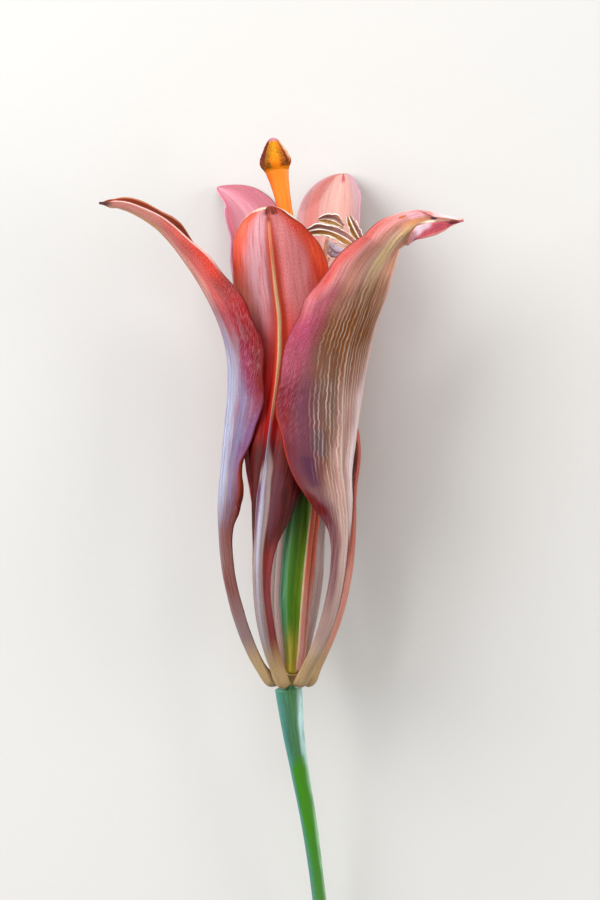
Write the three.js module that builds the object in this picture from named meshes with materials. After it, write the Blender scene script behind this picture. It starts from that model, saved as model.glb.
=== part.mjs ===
// A wood lily: one cut flower, past its best, lying on its back on a level surface.
// Six clawed tepals in two whorls stand round a ribbed ovary, a long style and six stamens.
// Lengths are millimetres and angles are degrees.
// The flower is shaped about its own axis: +Y runs from the cut stem to the stigma, +Z points up
// from the surface, and the zero point is where the tepals join the stem.

import * as THREE from "three";

const SURFACE_Z = -15; // height of the surface it lies on, below the flower's axis
const REST_POINT = [-0.9, 60, SURFACE_Z]; // where the back sepal lies on the surface: the origin

const CLAW_THICKNESS = 0.9;
const BLADE_THICKNESS = 0.62;
const TIP_HALF_WIDTH = 0.45;
const TIP_START = 0.9; // share of the length where the tip starts to round off
const WAVE_HEIGHT = 0.22; // how far the blade margins wave in and out
const WAVE_LENGTH = 7.5;
const TEPAL_ROWS = 32;
const RIDGE_HALF_WIDTH = 0.55;
const COLUMNS_PER_HALF = 5;

const OVARY_RIB_DEPTH = 0.07; // share of the ovary's radius
const FILAMENT_RADIUS = 0.38;

const COLOURS = {
  stem: 0x7f9f78,
  sepal: 0xc9756a,
  petal: 0xd9685a,
  ovary: 0x5d8a2a,
  style: 0xe88a12,
  stigma: 0xa85a18,
  filament: 0xd09a80,
  anther: 0xb98a4a,
};

// Station columns: place of the midrib, flat width of each half, roll of the blade about the
// midrib, and the angle through which each half curls inwards.
const X = 0;
const Y = 1;
const Z = 2;
const WIDTH_LEFT = 3;
const WIDTH_RIGHT = 4;
const ROLL = 5;
const CURL_LEFT = 6;
const CURL_RIGHT = 7;

// The six tepals. facing is the way the back of the blade looks, measured round the flower's axis
// from +Z towards +X. left and right are as seen from outside the flower, tip up.
const TEPALS = {
  sepal_left: {
    facing: -78,
    ridge: 0.25,
    wavePhase: 0.4,
    colour: COLOURS.sepal,
    stations: [
      [-2.05, 0.4, 0.45, 0.85, 0.85, 0, 30, 30],
      [-4.8, 4.0, 1.5, 1.3, 1.3, 0, 70, 70],
      [-7.2, 9.8, 2.2, 1.5, 1.5, 0, 80, 80],
      [-8.75, 16.2, 2.5, 1.5, 1.5, 0, 80, 80],
      [-9.4, 22.2, 2.2, 1.9, 2.2, 0, 75, 75],
      [-9.45, 27.2, 2.2, 3.4, 5.2, 0, 65, 72],
      [-9.1, 31.6, 2.2, 5.0, 4.6, 0, 60, 60],
      [-8.6, 37.0, 2.0, 6.6, 6.6, 0, 52, 55],
      [-8.2, 42.4, 1.7, 7.4, 7.6, 0, 50, 54],
      [-8.6, 48.0, 1.9, 7.8, 8.2, 0, 50, 55],
      [-10.7, 53.8, 3.2, 7.4, 8.2, 2, 50, 50],
      [-14.1, 59.6, 5.4, 6.8, 6.8, 4, 58, 32],
      [-17.9, 63.9, 7.6, 5.6, 5.4, 6, 60, 24],
      [-22.0, 66.4, 9.2, 4.4, 4.0, 8, 60, 24],
      [-26.2, 67.2, 10.4, 2.8, 2.6, 8, 50, 36],
    ],
  },
  petal_front: {
    facing: -10,
    ridge: 0.6,
    wavePhase: 1.7,
    colour: COLOURS.petal,
    stations: [
      [-0.7, 0.4, 1.97, 0.85, 0.85, 10, 30, 30],
      [-2.5, 4.6, 4.5, 1.2, 1.2, 12, 60, 60],
      [-3.7, 9.6, 6.9, 1.3, 1.4, 12, 70, 70],
      [-4.2, 15.0, 8.2, 1.3, 1.5, 12, 70, 70],
      [-4.2, 20.4, 8.6, 1.4, 2.6, 12, 65, 60],
      [-3.8, 26.2, 7.9, 2.4, 5.0, 12, 60, 55],
      [-3.1, 32.2, 7.1, 3.6, 6.8, 10, 50, 60],
      [-2.3, 38.2, 6.4, 5.8, 7.8, 6, 60, 60],
      [-1.5, 44.6, 6.2, 7.4, 8.0, 3, 62, 60],
      [-1.3, 50.6, 6.6, 8.2, 8.2, 2, 55, 55],
      [-1.8, 56.6, 7.4, 8.0, 8.4, 2, 58, 42],
      [-2.4, 62.0, 8.2, 7.2, 7.8, 0, 58, 38],
      [-3.1, 66.9, 8.3, 5.4, 5.8, 0, 45, 40],
    ],
  },
  sepal_right: {
    facing: 38,
    ridge: 0.25,
    wavePhase: 3.1,
    colour: COLOURS.sepal,
    stations: [
      [1.35, 0.4, 1.6, 0.85, 0.85, 0, 30, 30],
      [3.9, 5.4, 4.8, 1.2, 1.2, 0, 60, 60],
      [6.0, 11.2, 6.8, 1.4, 1.4, 0, 70, 70],
      [7.1, 17.2, 7.7, 1.5, 1.5, 0, 70, 70],
      [7.5, 22.4, 7.7, 2.4, 2.0, 0, 60, 65],
      [7.3, 26.6, 7.8, 5.0, 3.6, 0, 55, 70],
      [6.85, 31.0, 7.6, 7.2, 5.4, 0, 54, 78],
      [6.5, 36.0, 7.2, 9.0, 7.6, 0, 56, 77],
      [6.4, 41.4, 7.1, 9.5, 8.6, 0, 57, 67],
      [7.0, 47.2, 7.2, 9.2, 9.2, 0, 57, 64],
      [8.9, 52.8, 8.6, 8.5, 8.6, 0, 50, 60],
      [11.5, 57.9, 10.6, 7.0, 7.2, 0, 40, 50],
      [14.6, 61.8, 12.3, 5.2, 4.8, 0, 32, 40],
      [17.2, 64.2, 13.2, 4.4, 3.8, 0, 0, 50],
      [19.4, 65.6, 13.6, 4.6, 3.0, 0, -95, 50],
      [23.4, 64.7, 13.8, 3.0, 2.0, 0, -110, 40],
    ],
  },
  petal_back_right: {
    facing: 126,
    ridge: 0.5,
    wavePhase: 4.6,
    colour: COLOURS.petal,
    stations: [
      [2.07, 0.4, -0.37, 0.85, 0.85, 26, 30, 30],
      [4.4, 4.8, -1.8, 1.2, 1.2, 14, 60, 60],
      [6.5, 10.0, -3.3, 1.4, 1.4, 6, 70, 70],
      [7.9, 16.0, -4.4, 1.5, 1.5, 2, 70, 70],
      [8.5, 22.0, -5.0, 1.6, 1.8, 0, 60, 60],
      [8.6, 27.6, -5.2, 3.0, 4.2, 2, 55, 60],
      [9.0, 33.4, -5.2, 4.0, 6.0, 4, 50, 62],
      [7.9, 39.6, -5.2, 5.0, 7.2, 6, 58, 62],
      [6.8, 46.0, -5.4, 7.6, 7.8, 7, 62, 62],
      [6.8, 52.0, -6.6, 8.0, 7.8, 5, 55, 55],
      [6.8, 58.0, -8.8, 7.6, 6.3, -4, 50, 50],
      [6.6, 63.6, -11.2, 7.0, 6.0, -12, 45, 42],
      [6.8, 68.4, -13.2, 6.2, 6.2, -18, 40, 35],
      [7.5, 72.8, -14.3, 5.4, 5.4, -20, 30, 25],
    ],
  },
  sepal_back: {
    facing: 172,
    ridge: 0.25,
    wavePhase: 5.5,
    colour: COLOURS.sepal,
    stations: [
      [0.7, 0.4, -1.97, 0.85, 0.85, 12, 30, 30],
      [1.65, 4.6, -4.6, 1.2, 1.2, 10, 60, 60],
      [2.7, 9.8, -6.9, 1.4, 1.4, 8, 70, 70],
      [3.5, 15.6, -8.6, 1.5, 1.5, 6, 70, 70],
      [3.6, 21.6, -9.5, 1.8, 1.8, 4, 60, 60],
      [3.2, 27.6, -10.0, 3.4, 4.0, 0, 50, 50],
      [2.6, 33.8, -10.3, 4.6, 6.4, 0, 38, 46],
      [2.0, 40.2, -10.6, 6.2, 7.6, 0, 40, 44],
      [1.4, 46.6, -11.4, 7.6, 7.6, 0, 42, 42],
      [0.9, 52.0, -12.8, 7.0, 7.0, 0, 36, 36],
      [0.4, 56.6, -14.4, 5.4, 5.4, 0, 20, 20],
      [-0.1, 61.6, -14.9, 2.8, 2.8, 0, 10, 10],
    ],
  },
  petal_back_left: {
    facing: -145,
    ridge: 0.5,
    wavePhase: 0.9,
    colour: COLOURS.petal,
    stations: [
      [-1.35, 0.4, -1.6, 0.85, 0.85, -4, 30, 30],
      [-2.2, 4.8, -4.2, 1.2, 1.2, 4, 60, 60],
      [-3.0, 10.0, -6.3, 1.4, 1.4, 8, 70, 70],
      [-3.6, 16.0, -7.4, 1.5, 1.5, 10, 70, 70],
      [-3.7, 22.0, -7.7, 1.8, 1.8, 8, 60, 60],
      [-3.6, 28.0, -7.4, 3.8, 4.0, 6, 60, 60],
      [-3.4, 34.0, -6.9, 6.2, 6.4, 6, 60, 60],
      [-3.2, 40.0, -6.7, 7.2, 7.4, 7, 62, 62],
      [-3.2, 46.0, -6.9, 7.6, 7.8, 7, 62, 62],
      [-3.5, 52.0, -7.9, 6.8, 8.0, 5, 55, 55],
      [-3.9, 58.0, -9.8, 5.5, 8.0, 2, 50, 50],
      [-4.8, 63.2, -11.8, 4.9, 7.2, 0, 45, 45],
      [-7.0, 67.8, -13.6, 5.0, 5.6, 0, 40, 40],
      [-10.4, 70.8, -14.2, 3.0, 3.0, 0, 30, 30],
    ],
  },
};

// Path columns of the round pieces: place and radius.
const RADIUS = 3;

const STEM_PATH = [
  [5.8, -60.0, -14.0, 1.0],
  [5.6, -50.0, -12.6, 1.0],
  [5.1, -40.0, -10.4, 0.98],
  [4.1, -30.0, -7.7, 0.98],
  [2.8, -20.0, -4.7, 1.12],
  [1.4, -12.0, -2.4, 1.28],
  [0.45, -6.0, -0.7, 1.56],
  [-0.2, -0.1, 0.0, 1.95],
];
const RECEPTACLE_RINGS = [
  [-0.1, 0.1, 0.0, 1.25],
  [0.0, 1.0, 0.0, 1.25],
  [0.05, 1.9, 0.0, 1.75],
];
const OVARY_PATH = [
  [0.1, 2.2, 0.0, 0.7],
  [0.15, 4.4, 0.05, 0.92],
  [0.15, 8.0, 0.1, 1.25],
  [0.15, 12.6, 0.1, 1.62],
  [0.5, 18.0, 0.1, 1.74],
  [1.2, 23.6, 0.1, 1.74],
  [1.5, 27.4, 0.15, 1.45],
  [1.6, 29.0, 0.2, 1.05],
];
const STYLE_PATH = [
  [1.6, 29.3, 0.2, 0.95],
  [1.9, 40.0, 0.6, 0.9],
  [1.4, 51.0, 1.2, 0.92],
  [0.3, 61.0, 1.8, 0.95],
  [-0.8, 67.4, 2.0, 1.02],
  [-1.4, 70.4, 2.0, 1.25],
  [-1.75, 71.9, 2.0, 1.6],
];
const STIGMA_PATH = [
  [-1.8, 72.26, 2.0, 1.55],
  [-2.0, 73.4, 2.0, 2.05],
  [-2.15, 74.6, 2.0, 1.7],
  [-2.3, 75.8, 2.0, 1.1],
  [-2.4, 76.9, 2.0, 0.5],
];

// Heights and distances from the pistil's axis that every filament passes through on its way up.
const FILAMENT_HEIGHTS = [2.3, 6.0, 12.5, 20.0, 28.0, 38.0, 48.0];
const FILAMENT_DISTANCES = [1.42, 1.85, 2.45, 2.6, 2.7, 2.9, 3.3];

// The six stamens: the side of the ovary the filament stands on, where it ends under its anther,
// and the bent line of the dried anther itself with its half thickness.
const STAMENS = [
  {
    side: 48,
    end: [5.9, 63.05, 3.8],
    anther: [
      [2.3, 63.9, 4.2, 0.45],
      [4.0, 64.5, 4.4, 0.85],
      [6.0, 64.3, 4.5, 0.9],
      [7.8, 63.2, 4.4, 0.85],
      [9.2, 61.9, 4.2, 0.45],
    ],
  },
  {
    side: 100,
    end: [8.25, 63.2, 0.65],
    anther: [
      [8.2, 66.0, 1.2, 0.3],
      [8.6, 65.0, 1.4, 0.75],
      [9.2, 63.8, 1.4, 0.8],
      [10.0, 62.4, 1.2, 0.4],
    ],
  },
  {
    side: 152,
    end: [5.45, 64.65, -0.6],
    anther: [
      [3.9, 65.7, 0.2, 0.35],
      [4.9, 65.8, 0.2, 0.8],
      [6.2, 65.7, 0.1, 0.85],
      [7.6, 65.0, -0.2, 0.4],
    ],
  },
  {
    side: 206,
    end: [5.5, 60.5, -4.0],
    anther: [
      [5.3, 62.9, -3.2, 0.35],
      [5.5, 61.9, -3.0, 0.7],
      [6.3, 61.1, -3.0, 0.75],
      [7.6, 61.1, -3.2, 0.4],
    ],
  },
  {
    side: -100,
    end: [-3.4, 57.6, 1.5],
    anther: [
      [-4.6, 61.6, 1.75, 0.4],
      [-4.6, 60.0, 2.05, 0.8],
      [-4.5, 58.4, 2.05, 0.8],
      [-4.2, 56.8, 1.75, 0.4],
    ],
  },
  {
    side: -52,
    end: [-0.2, 60.0, 4.6],
    anther: [
      [-1.9, 61.0, 4.6, 0.4],
      [-0.6, 61.5, 4.8, 0.8],
      [1.2, 61.3, 4.8, 0.8],
      [2.6, 60.4, 4.6, 0.4],
    ],
  },
];

// A smooth curve through rows of numbers, one row for each whole step of t from 0 to 1.
function smoothRows(rows) {
  const last = rows.length - 1;
  return (t) => {
    const place = Math.min(Math.max(t, 0), 1) * last;
    const i = Math.min(Math.floor(place), last - 1);
    const f = place - i;
    const before = rows[Math.max(i - 1, 0)];
    const start = rows[i];
    const end = rows[i + 1];
    const after = rows[Math.min(i + 2, last)];
    return start.map((value, k) => {
      const slopeIn = (end[k] - before[k]) / (i > 0 ? 2 : 1);
      const slopeOut = (after[k] - value) / (i + 2 <= last ? 2 : 1);
      const f2 = f * f;
      const f3 = f2 * f;
      return (
        value * (2 * f3 - 3 * f2 + 1) +
        slopeIn * (f3 - 2 * f2 + f) +
        end[k] * (3 * f2 - 2 * f3) +
        slopeOut * (f3 - f2)
      );
    });
  };
}

// The same curve, read by its share of the arc length instead.
function byLength(rowAt) {
  const steps = 200;
  const lengths = [0];
  let previous = rowAt(0);
  for (let i = 1; i <= steps; i++) {
    const row = rowAt(i / steps);
    const step = Math.hypot(row[X] - previous[X], row[Y] - previous[Y], row[Z] - previous[Z]);
    lengths.push(lengths[i - 1] + step);
    previous = row;
  }
  const total = lengths[steps];
  const read = (share) => {
    const wanted = Math.min(Math.max(share, 0), 1) * total;
    let i = 1;
    while (i < steps && lengths[i] < wanted) i++;
    const f = (wanted - lengths[i - 1]) / (lengths[i] - lengths[i - 1]);
    return rowAt((i - 1 + f) / steps);
  };
  return { read, total };
}

const radians = THREE.MathUtils.degToRad;
const vector = (row) => new THREE.Vector3(row[X], row[Y], row[Z]);

function tangentAt(read, share) {
  const step = 0.004;
  const ahead = vector(read(Math.min(share + step, 1)));
  const behind = vector(read(Math.max(share - step, 0)));
  return ahead.sub(behind).normalize();
}

function smoothStep(from, to, value) {
  const f = Math.min(Math.max((value - from) / (to - from), 0), 1);
  return f * f * (3 - 2 * f);
}

// The station's half width, rounded off over the last part of the length to make the tip.
function halfWidthAt(stationWidth, share) {
  const past = Math.max((share - TIP_START) / (1 - TIP_START), 0);
  return Math.max(stationWidth * Math.sqrt(1 - past ** 2), TIP_HALF_WIDTH);
}

// Shares of the half width where the columns of points lie, close together at the midrib.
function columnPlaces(halfWidth) {
  const ridge = Math.min(RIDGE_HALF_WIDTH, halfWidth * 0.45);
  const places = [];
  for (let k = 0; k < COLUMNS_PER_HALF; k++) {
    places.push(ridge + ((halfWidth - ridge) * k) / (COLUMNS_PER_HALF - 1));
  }
  return places;
}

// Points across a tepal at one station. Each half is laid along an arc that curls inwards.
function tepalRow(tepal, read, share, length) {
  const row = read(share);
  const tangent = tangentAt(read, share);
  const facing = radians(tepal.facing - row[ROLL]);
  const side = new THREE.Vector3(Math.cos(facing), 0, -Math.sin(facing));
  side.addScaledVector(tangent, -side.dot(tangent)).normalize();
  const outward = new THREE.Vector3().crossVectors(side, tangent);
  const thickness = THREE.MathUtils.lerp(
    CLAW_THICKNESS,
    BLADE_THICKNESS,
    smoothStep(0.2, 0.45, share),
  );
  const pointAt = (place, halfWidth, curl, sign) => {
    const bend = radians(curl) / halfWidth;
    const angle = bend * place;
    const flat = Math.abs(angle) < 1e-3;
    const sideways = flat ? place : Math.sin(angle) / bend;
    const inwards = flat ? (angle * place) / 2 : (1 - Math.cos(angle)) / bend;
    const phase = (share * length * 2 * Math.PI) / WAVE_LENGTH + tepal.wavePhase + sign;
    const wave = WAVE_HEIGHT * (place / 8) ** 2 * Math.sin(phase);
    const point = vector(row).addScaledVector(side, sign * sideways);
    point.addScaledVector(outward, wave - inwards);
    point.z = Math.max(point.z, SURFACE_Z + thickness / 2);
    return point;
  };
  const left = halfWidthAt(row[WIDTH_LEFT], share);
  const right = halfWidthAt(row[WIDTH_RIGHT], share);
  const points = [
    ...columnPlaces(left).reverse().map((d) => pointAt(d, left, row[CURL_LEFT], -1)),
    vector(row),
    ...columnPlaces(right).map((d) => pointAt(d, right, row[CURL_RIGHT], 1)),
  ];
  points[COLUMNS_PER_HALF].z = Math.max(points[COLUMNS_PER_HALF].z, SURFACE_Z + thickness / 2);
  return { points, thickness, ridge: tepal.ridge * smoothStep(1, 0.9, share) };
}

function tepalGeometry(tepal) {
  const { read, total } = byLength(smoothRows(tepal.stations));
  const grid = [];
  for (let i = 0; i <= TEPAL_ROWS; i++) {
    const share = 1 - (1 - i / TEPAL_ROWS) ** 1.2; // rows lie closer together towards the tip
    grid.push(tepalRow(tepal, read, share, total));
  }
  return shellGeometry(grid);
}

// A closed shell round a grid of middle points, with a ridge raised along the back of the midrib.
function shellGeometry(grid) {
  const rows = grid.length;
  const columns = grid[0].points.length;
  const at = (i, j) => grid[i].points[j];
  const vertices = [];
  for (const face of [1, -1]) {
    for (let i = 0; i < rows; i++) {
      for (let j = 0; j < columns; j++) {
        const up = at(Math.min(i + 1, rows - 1), j).clone();
        up.sub(at(Math.max(i - 1, 0), j));
        const side = at(i, Math.min(j + 1, columns - 1)).clone();
        side.sub(at(i, Math.max(j - 1, 0)));
        const normal = side.cross(up).normalize();
        const raised = j === COLUMNS_PER_HALF && face > 0 ? grid[i].ridge : 0;
        const offset = (face * grid[i].thickness) / 2 + raised;
        const vertex = at(i, j).clone().addScaledVector(normal, offset);
        vertex.z = Math.max(vertex.z, SURFACE_Z);
        vertices.push(vertex.x, vertex.y, vertex.z);
      }
    }
  }
  const outer = (i, j) => i * columns + j;
  const inner = (i, j) => rows * columns + i * columns + j;
  const triangles = [];
  const quad = (a, b, c, d) => triangles.push(a, b, c, a, c, d);
  const last = columns - 1;
  const top = rows - 1;
  for (let i = 0; i < top; i++) {
    for (let j = 0; j < last; j++) {
      quad(outer(i, j), outer(i, j + 1), outer(i + 1, j + 1), outer(i + 1, j));
      triangles.push(inner(i, j), inner(i + 1, j + 1), inner(i, j + 1));
      triangles.push(inner(i, j), inner(i + 1, j), inner(i + 1, j + 1));
    }
    quad(outer(i, 0), outer(i + 1, 0), inner(i + 1, 0), inner(i, 0));
    quad(outer(i, last), inner(i, last), inner(i + 1, last), outer(i + 1, last));
  }
  for (let j = 0; j < last; j++) {
    quad(outer(0, j), inner(0, j), inner(0, j + 1), outer(0, j + 1));
    quad(outer(top, j), outer(top, j + 1), inner(top, j + 1), inner(top, j));
  }
  return meshGeometry(vertices, triangles);
}

function meshGeometry(vertices, triangles) {
  const geometry = new THREE.BufferGeometry();
  geometry.setAttribute("position", new THREE.Float32BufferAttribute(vertices, 3));
  geometry.setIndex(triangles);
  geometry.computeVertexNormals();
  return geometry;
}

// Rings read off a smooth path, the same number of them in every span between two stations.
function ringsOf(path, ringsPerSpan) {
  const rowAt = smoothRows(path);
  const count = (path.length - 1) * ringsPerSpan;
  return Array.from({ length: count + 1 }, (_, i) => rowAt(i / count));
}

// A closed solid through rings. shape gives the share of the ring's radius at an angle round it,
// counted from straight up.
function sweptGeometry(rings, sides, shape = () => 1) {
  const vertices = [];
  const last = rings.length - 1;
  rings.forEach((ring, i) => {
    const tangent = vector(rings[Math.min(i + 1, last)]).sub(vector(rings[Math.max(i - 1, 0)]));
    tangent.normalize();
    const up = new THREE.Vector3(0, 0, 1);
    up.addScaledVector(tangent, -up.dot(tangent)).normalize();
    const across = new THREE.Vector3().crossVectors(tangent, up);
    for (let k = 0; k < sides; k++) {
      const angle = (2 * Math.PI * k) / sides;
      const radius = ring[RADIUS] * shape(angle, i / last);
      const vertex = vector(ring).addScaledVector(up, radius * Math.cos(angle));
      vertex.addScaledVector(across, radius * Math.sin(angle));
      vertex.z = Math.max(vertex.z, SURFACE_Z);
      vertices.push(vertex.x, vertex.y, vertex.z);
    }
  });
  const start = vertices.length / 3;
  vertices.push(...rings[0].slice(0, 3), ...rings[last].slice(0, 3));
  const triangles = [];
  for (let k = 0; k < sides; k++) {
    const next = (k + 1) % sides;
    for (let i = 0; i < last; i++) {
      const a = i * sides;
      triangles.push(a + k, a + next, a + sides + next);
      triangles.push(a + k, a + sides + next, a + sides + k);
    }
    triangles.push(start, next, k);
    triangles.push(start + 1, last * sides + k, last * sides + next);
  }
  return meshGeometry(vertices, triangles);
}

const flower = new THREE.Group();

function addPiece(name, geometry, colour) {
  const material = new THREE.MeshStandardMaterial({ color: colour, roughness: 0.6, metalness: 0 });
  const mesh = new THREE.Mesh(geometry, material);
  mesh.name = name;
  flower.add(mesh);
}

for (const [name, tepal] of Object.entries(TEPALS)) {
  addPiece(name, tepalGeometry(tepal), tepal.colour);
}

const stemRings = [...ringsOf(STEM_PATH, 4), ...RECEPTACLE_RINGS];
addPiece("stem", sweptGeometry(stemRings, 16), COLOURS.stem);

const sixRibs = (angle) => 1 + OVARY_RIB_DEPTH * Math.cos(6 * angle);
addPiece("ovary", sweptGeometry(ringsOf(OVARY_PATH, 3), 24, sixRibs), COLOURS.ovary);

const threeSides = (depth) => (angle, share) =>
  1 - depth * smoothStep(0.5, 1, share) * Math.cos(3 * angle);
addPiece("style", sweptGeometry(ringsOf(STYLE_PATH, 4), 18, threeSides(0.14)), COLOURS.style);
addPiece(
  "stigma",
  sweptGeometry(ringsOf(STIGMA_PATH, 3), 18, (angle) => 1 - 0.16 * Math.cos(3 * angle)),
  COLOURS.stigma,
);

// The pistil's axis at a height, used to stand the filaments round it.
function pistilAxis(height) {
  const rows = [...OVARY_PATH, ...STYLE_PATH];
  const next = Math.max(rows.findIndex((row) => row[Y] >= height), 1);
  const [a, b] = [rows[next - 1], rows[next]];
  const f = (height - a[Y]) / (b[Y] - a[Y]);
  return vector(a).lerp(vector(b), f);
}

// A dried anther has split open: a deep furrow runs along its upper face, a shallow one below.
function antherShape(angle) {
  const upper = Math.exp(-((Math.min(angle, 2 * Math.PI - angle) / 0.45) ** 2));
  const lower = Math.exp(-(((angle - Math.PI) / 0.5) ** 2));
  return 1 - 0.42 * upper - 0.2 * lower;
}

STAMENS.forEach(({ side, end, anther }, index) => {
  const angle = radians(side);
  const path = FILAMENT_HEIGHTS.map((height, i) => {
    const place = pistilAxis(height);
    const distance = FILAMENT_DISTANCES[i];
    return [
      place.x + distance * Math.sin(angle),
      height,
      place.z + distance * Math.cos(angle),
      FILAMENT_RADIUS,
    ];
  });
  path.push([...end, FILAMENT_RADIUS * 0.85]);
  addPiece(`filament_${index + 1}`, sweptGeometry(ringsOf(path, 2), 8), COLOURS.filament);
  addPiece(`anther_${index + 1}`, sweptGeometry(ringsOf(anther, 3), 14, antherShape), COLOURS.anther);
});

const lily = new THREE.Group();
lily.add(flower);
flower.position.set(-REST_POINT[X], -REST_POINT[Y], -REST_POINT[Z]);

export default lily;
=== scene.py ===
"""A wood lily, past its best, lying on its back on a plain floor.

Lengths are millimetres in the flower's own frame until `place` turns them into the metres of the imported
frame: +Y runs from the cut stem to the stigma, +Z points up from the surface, and zero is where the tepals
join the stem.
"""

import logging
import math
from dataclasses import dataclass, field
from enum import Enum, auto
from typing import Optional, Sequence

import bpy
import numpy as np
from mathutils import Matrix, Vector


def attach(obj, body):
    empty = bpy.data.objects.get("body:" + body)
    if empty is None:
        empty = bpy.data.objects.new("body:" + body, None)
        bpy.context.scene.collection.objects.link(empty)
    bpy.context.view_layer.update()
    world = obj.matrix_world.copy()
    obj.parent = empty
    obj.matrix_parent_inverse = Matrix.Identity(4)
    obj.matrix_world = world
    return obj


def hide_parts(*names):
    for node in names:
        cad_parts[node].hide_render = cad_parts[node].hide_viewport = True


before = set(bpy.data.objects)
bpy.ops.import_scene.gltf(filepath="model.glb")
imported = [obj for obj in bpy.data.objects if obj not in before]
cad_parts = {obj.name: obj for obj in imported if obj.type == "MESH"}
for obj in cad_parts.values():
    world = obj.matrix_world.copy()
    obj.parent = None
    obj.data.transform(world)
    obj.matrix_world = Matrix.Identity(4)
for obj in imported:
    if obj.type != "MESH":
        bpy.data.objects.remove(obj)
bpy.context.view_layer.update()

log = logging.getLogger("wood_lily")

Row = Sequence[float]
Array = np.ndarray

MM = 0.001
SURFACE_Z = -15.0
REST_POINT = np.array([-0.9, 60.0, SURFACE_Z])  # the frame's origin, under the back sepal
ROOT_BODY = "root"

X, Y, Z, WIDTH_LEFT, WIDTH_RIGHT, ROLL, CURL_LEFT, CURL_RIGHT = range(8)  # columns of a tepal's station
RADIUS = 3  # column of a stalk's ring, after X, Y and Z

WHOLE_WIDTH = (-2.0, 2.0)  # from past the left margin to past the right one
OVAL = ((-1.0, 0.05, 0.0), (-0.6, 0.75, 1.0), (0.0, 1.0, 1.0), (0.6, 0.75, 1.0), (1.0, 0.05, 0.0))
MIX_I, MIX_J, MIX_SEED, MIX_LAST = 374761393, 668265263, 97463477, 1274126177
ALL_BITS, HALF_BITS = 0xFFFFFFFF, 0xFFFF
NOISE_RANGE = (0.3, 0.7)  # what a noise node mostly keeps to


def place(points: Array) -> Array:
    """Turns millimetres of the flower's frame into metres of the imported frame."""
    return (np.asarray(points, float) - REST_POINT) * MM


def ease(start: float, end: float, value: Array) -> Array:
    """Runs smoothly from 0 at start to 1 at end."""
    share = np.clip((np.asarray(value, float) - start) / (end - start), 0.0, 1.0)
    return share * share * (3.0 - 2.0 * share)


def bump(distance: Array, width: float) -> Array:
    """A soft hump, 1 at no distance and nearly 0 beyond twice the width."""
    return np.exp(-((distance / width) ** 2))


def rounded(share: Array) -> Array:
    """The height of a quarter circle, from 0 at its foot to 1 at its top."""
    return np.sqrt(1.0 - (1.0 - share) ** 2)


def lift_to_floor(points: Array, clearance: float = 0.0) -> None:
    """Moves points that lie below the floor up to it, or a little above it."""
    points[..., Z] = np.maximum(points[..., Z], SURFACE_Z + clearance)


def unit(vectors: Array) -> Array:
    """Scales vectors to length 1."""
    return vectors / np.maximum(np.linalg.norm(vectors, axis=-1, keepdims=True), 1e-12)


def upward(tangent: Array) -> Array:
    """Directions that look up and lie square to a path."""
    return unit(np.array([0.0, 0.0, 1.0]) - tangent * tangent[:, Z : Z + 1])


def arc_lengths(rows: Array) -> Array:
    """Millimetres along a path at each of its rows."""
    steps = np.linalg.norm(np.diff(rows[:, :3], axis=0), axis=1)
    return np.concatenate([[0.0], np.cumsum(steps)])


def linear(colour: str) -> tuple[float, float, float, float]:
    """Turns a colour such as #E8604A into the linear values that shaders take."""
    channels = [int(colour[i : i + 2], 16) / 255.0 for i in (1, 3, 5)]
    return (*(c / 12.92 if c <= 0.04045 else ((c + 0.055) / 1.055) ** 2.4 for c in channels), 1.0)


def chance(i: Array, j: Array, seed: int) -> Array:
    """Draws a fixed random value for each whole-number place.

    Args:
        i: The place's first number.
        j: Its second number.
        seed: Picks another set of values.

    Returns:
        Values from -1 to 1.
    """
    mixed = (i.astype(np.int64) * MIX_I + j.astype(np.int64) * MIX_J + seed * MIX_SEED) & ALL_BITS
    mixed = ((mixed ^ (mixed >> 13)) * MIX_LAST) & ALL_BITS
    return ((mixed ^ (mixed >> 16)) & HALF_BITS) / (HALF_BITS / 2.0) - 1.0


def grain(x: Array, y: Array, seed: int) -> Array:
    """Reads smooth random values over a plane, with one cell for each unit.

    Args:
        x: The first coordinate.
        y: The second coordinate.
        seed: Picks another set of values.

    Returns:
        Values from -1 to 1.
    """
    x, y = np.broadcast_arrays(np.asarray(x, float), np.asarray(y, float))
    i, j = np.floor(x), np.floor(y)
    u, v = ease(0.0, 1.0, x - i), ease(0.0, 1.0, y - j)
    low = chance(i, j, seed) * (1 - u) + chance(i + 1, j, seed) * u
    high = chance(i, j + 1, seed) * (1 - u) + chance(i + 1, j + 1, seed) * u
    return low * (1 - v) + high * v


def smooth_rows(rows: Array, t: Array) -> Array:
    """Reads a smooth curve through rows of numbers.

    Args:
        rows: One row for each station.
        t: Where to read, from 0 at the first row to 1 at the last.

    Returns:
        One row of numbers for each t.
    """
    last = len(rows) - 1
    position = np.clip(t, 0.0, 1.0) * last
    i = np.minimum(np.floor(position).astype(int), last - 1)
    f = (position - i)[:, None]
    before, start = rows[np.maximum(i - 1, 0)], rows[i]
    end, after = rows[i + 1], rows[np.minimum(i + 2, last)]
    slope_in = (end - before) / np.where(i > 0, 2.0, 1.0)[:, None]
    slope_out = (after - start) / np.where(i + 2 <= last, 2.0, 1.0)[:, None]
    f2, f3 = f * f, f * f * f
    return (
        start * (2 * f3 - 3 * f2 + 1)
        + slope_in * (f3 - 2 * f2 + f)
        + end * (3 * f2 - 2 * f3)
        + slope_out * (f3 - f2)
    )


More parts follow.
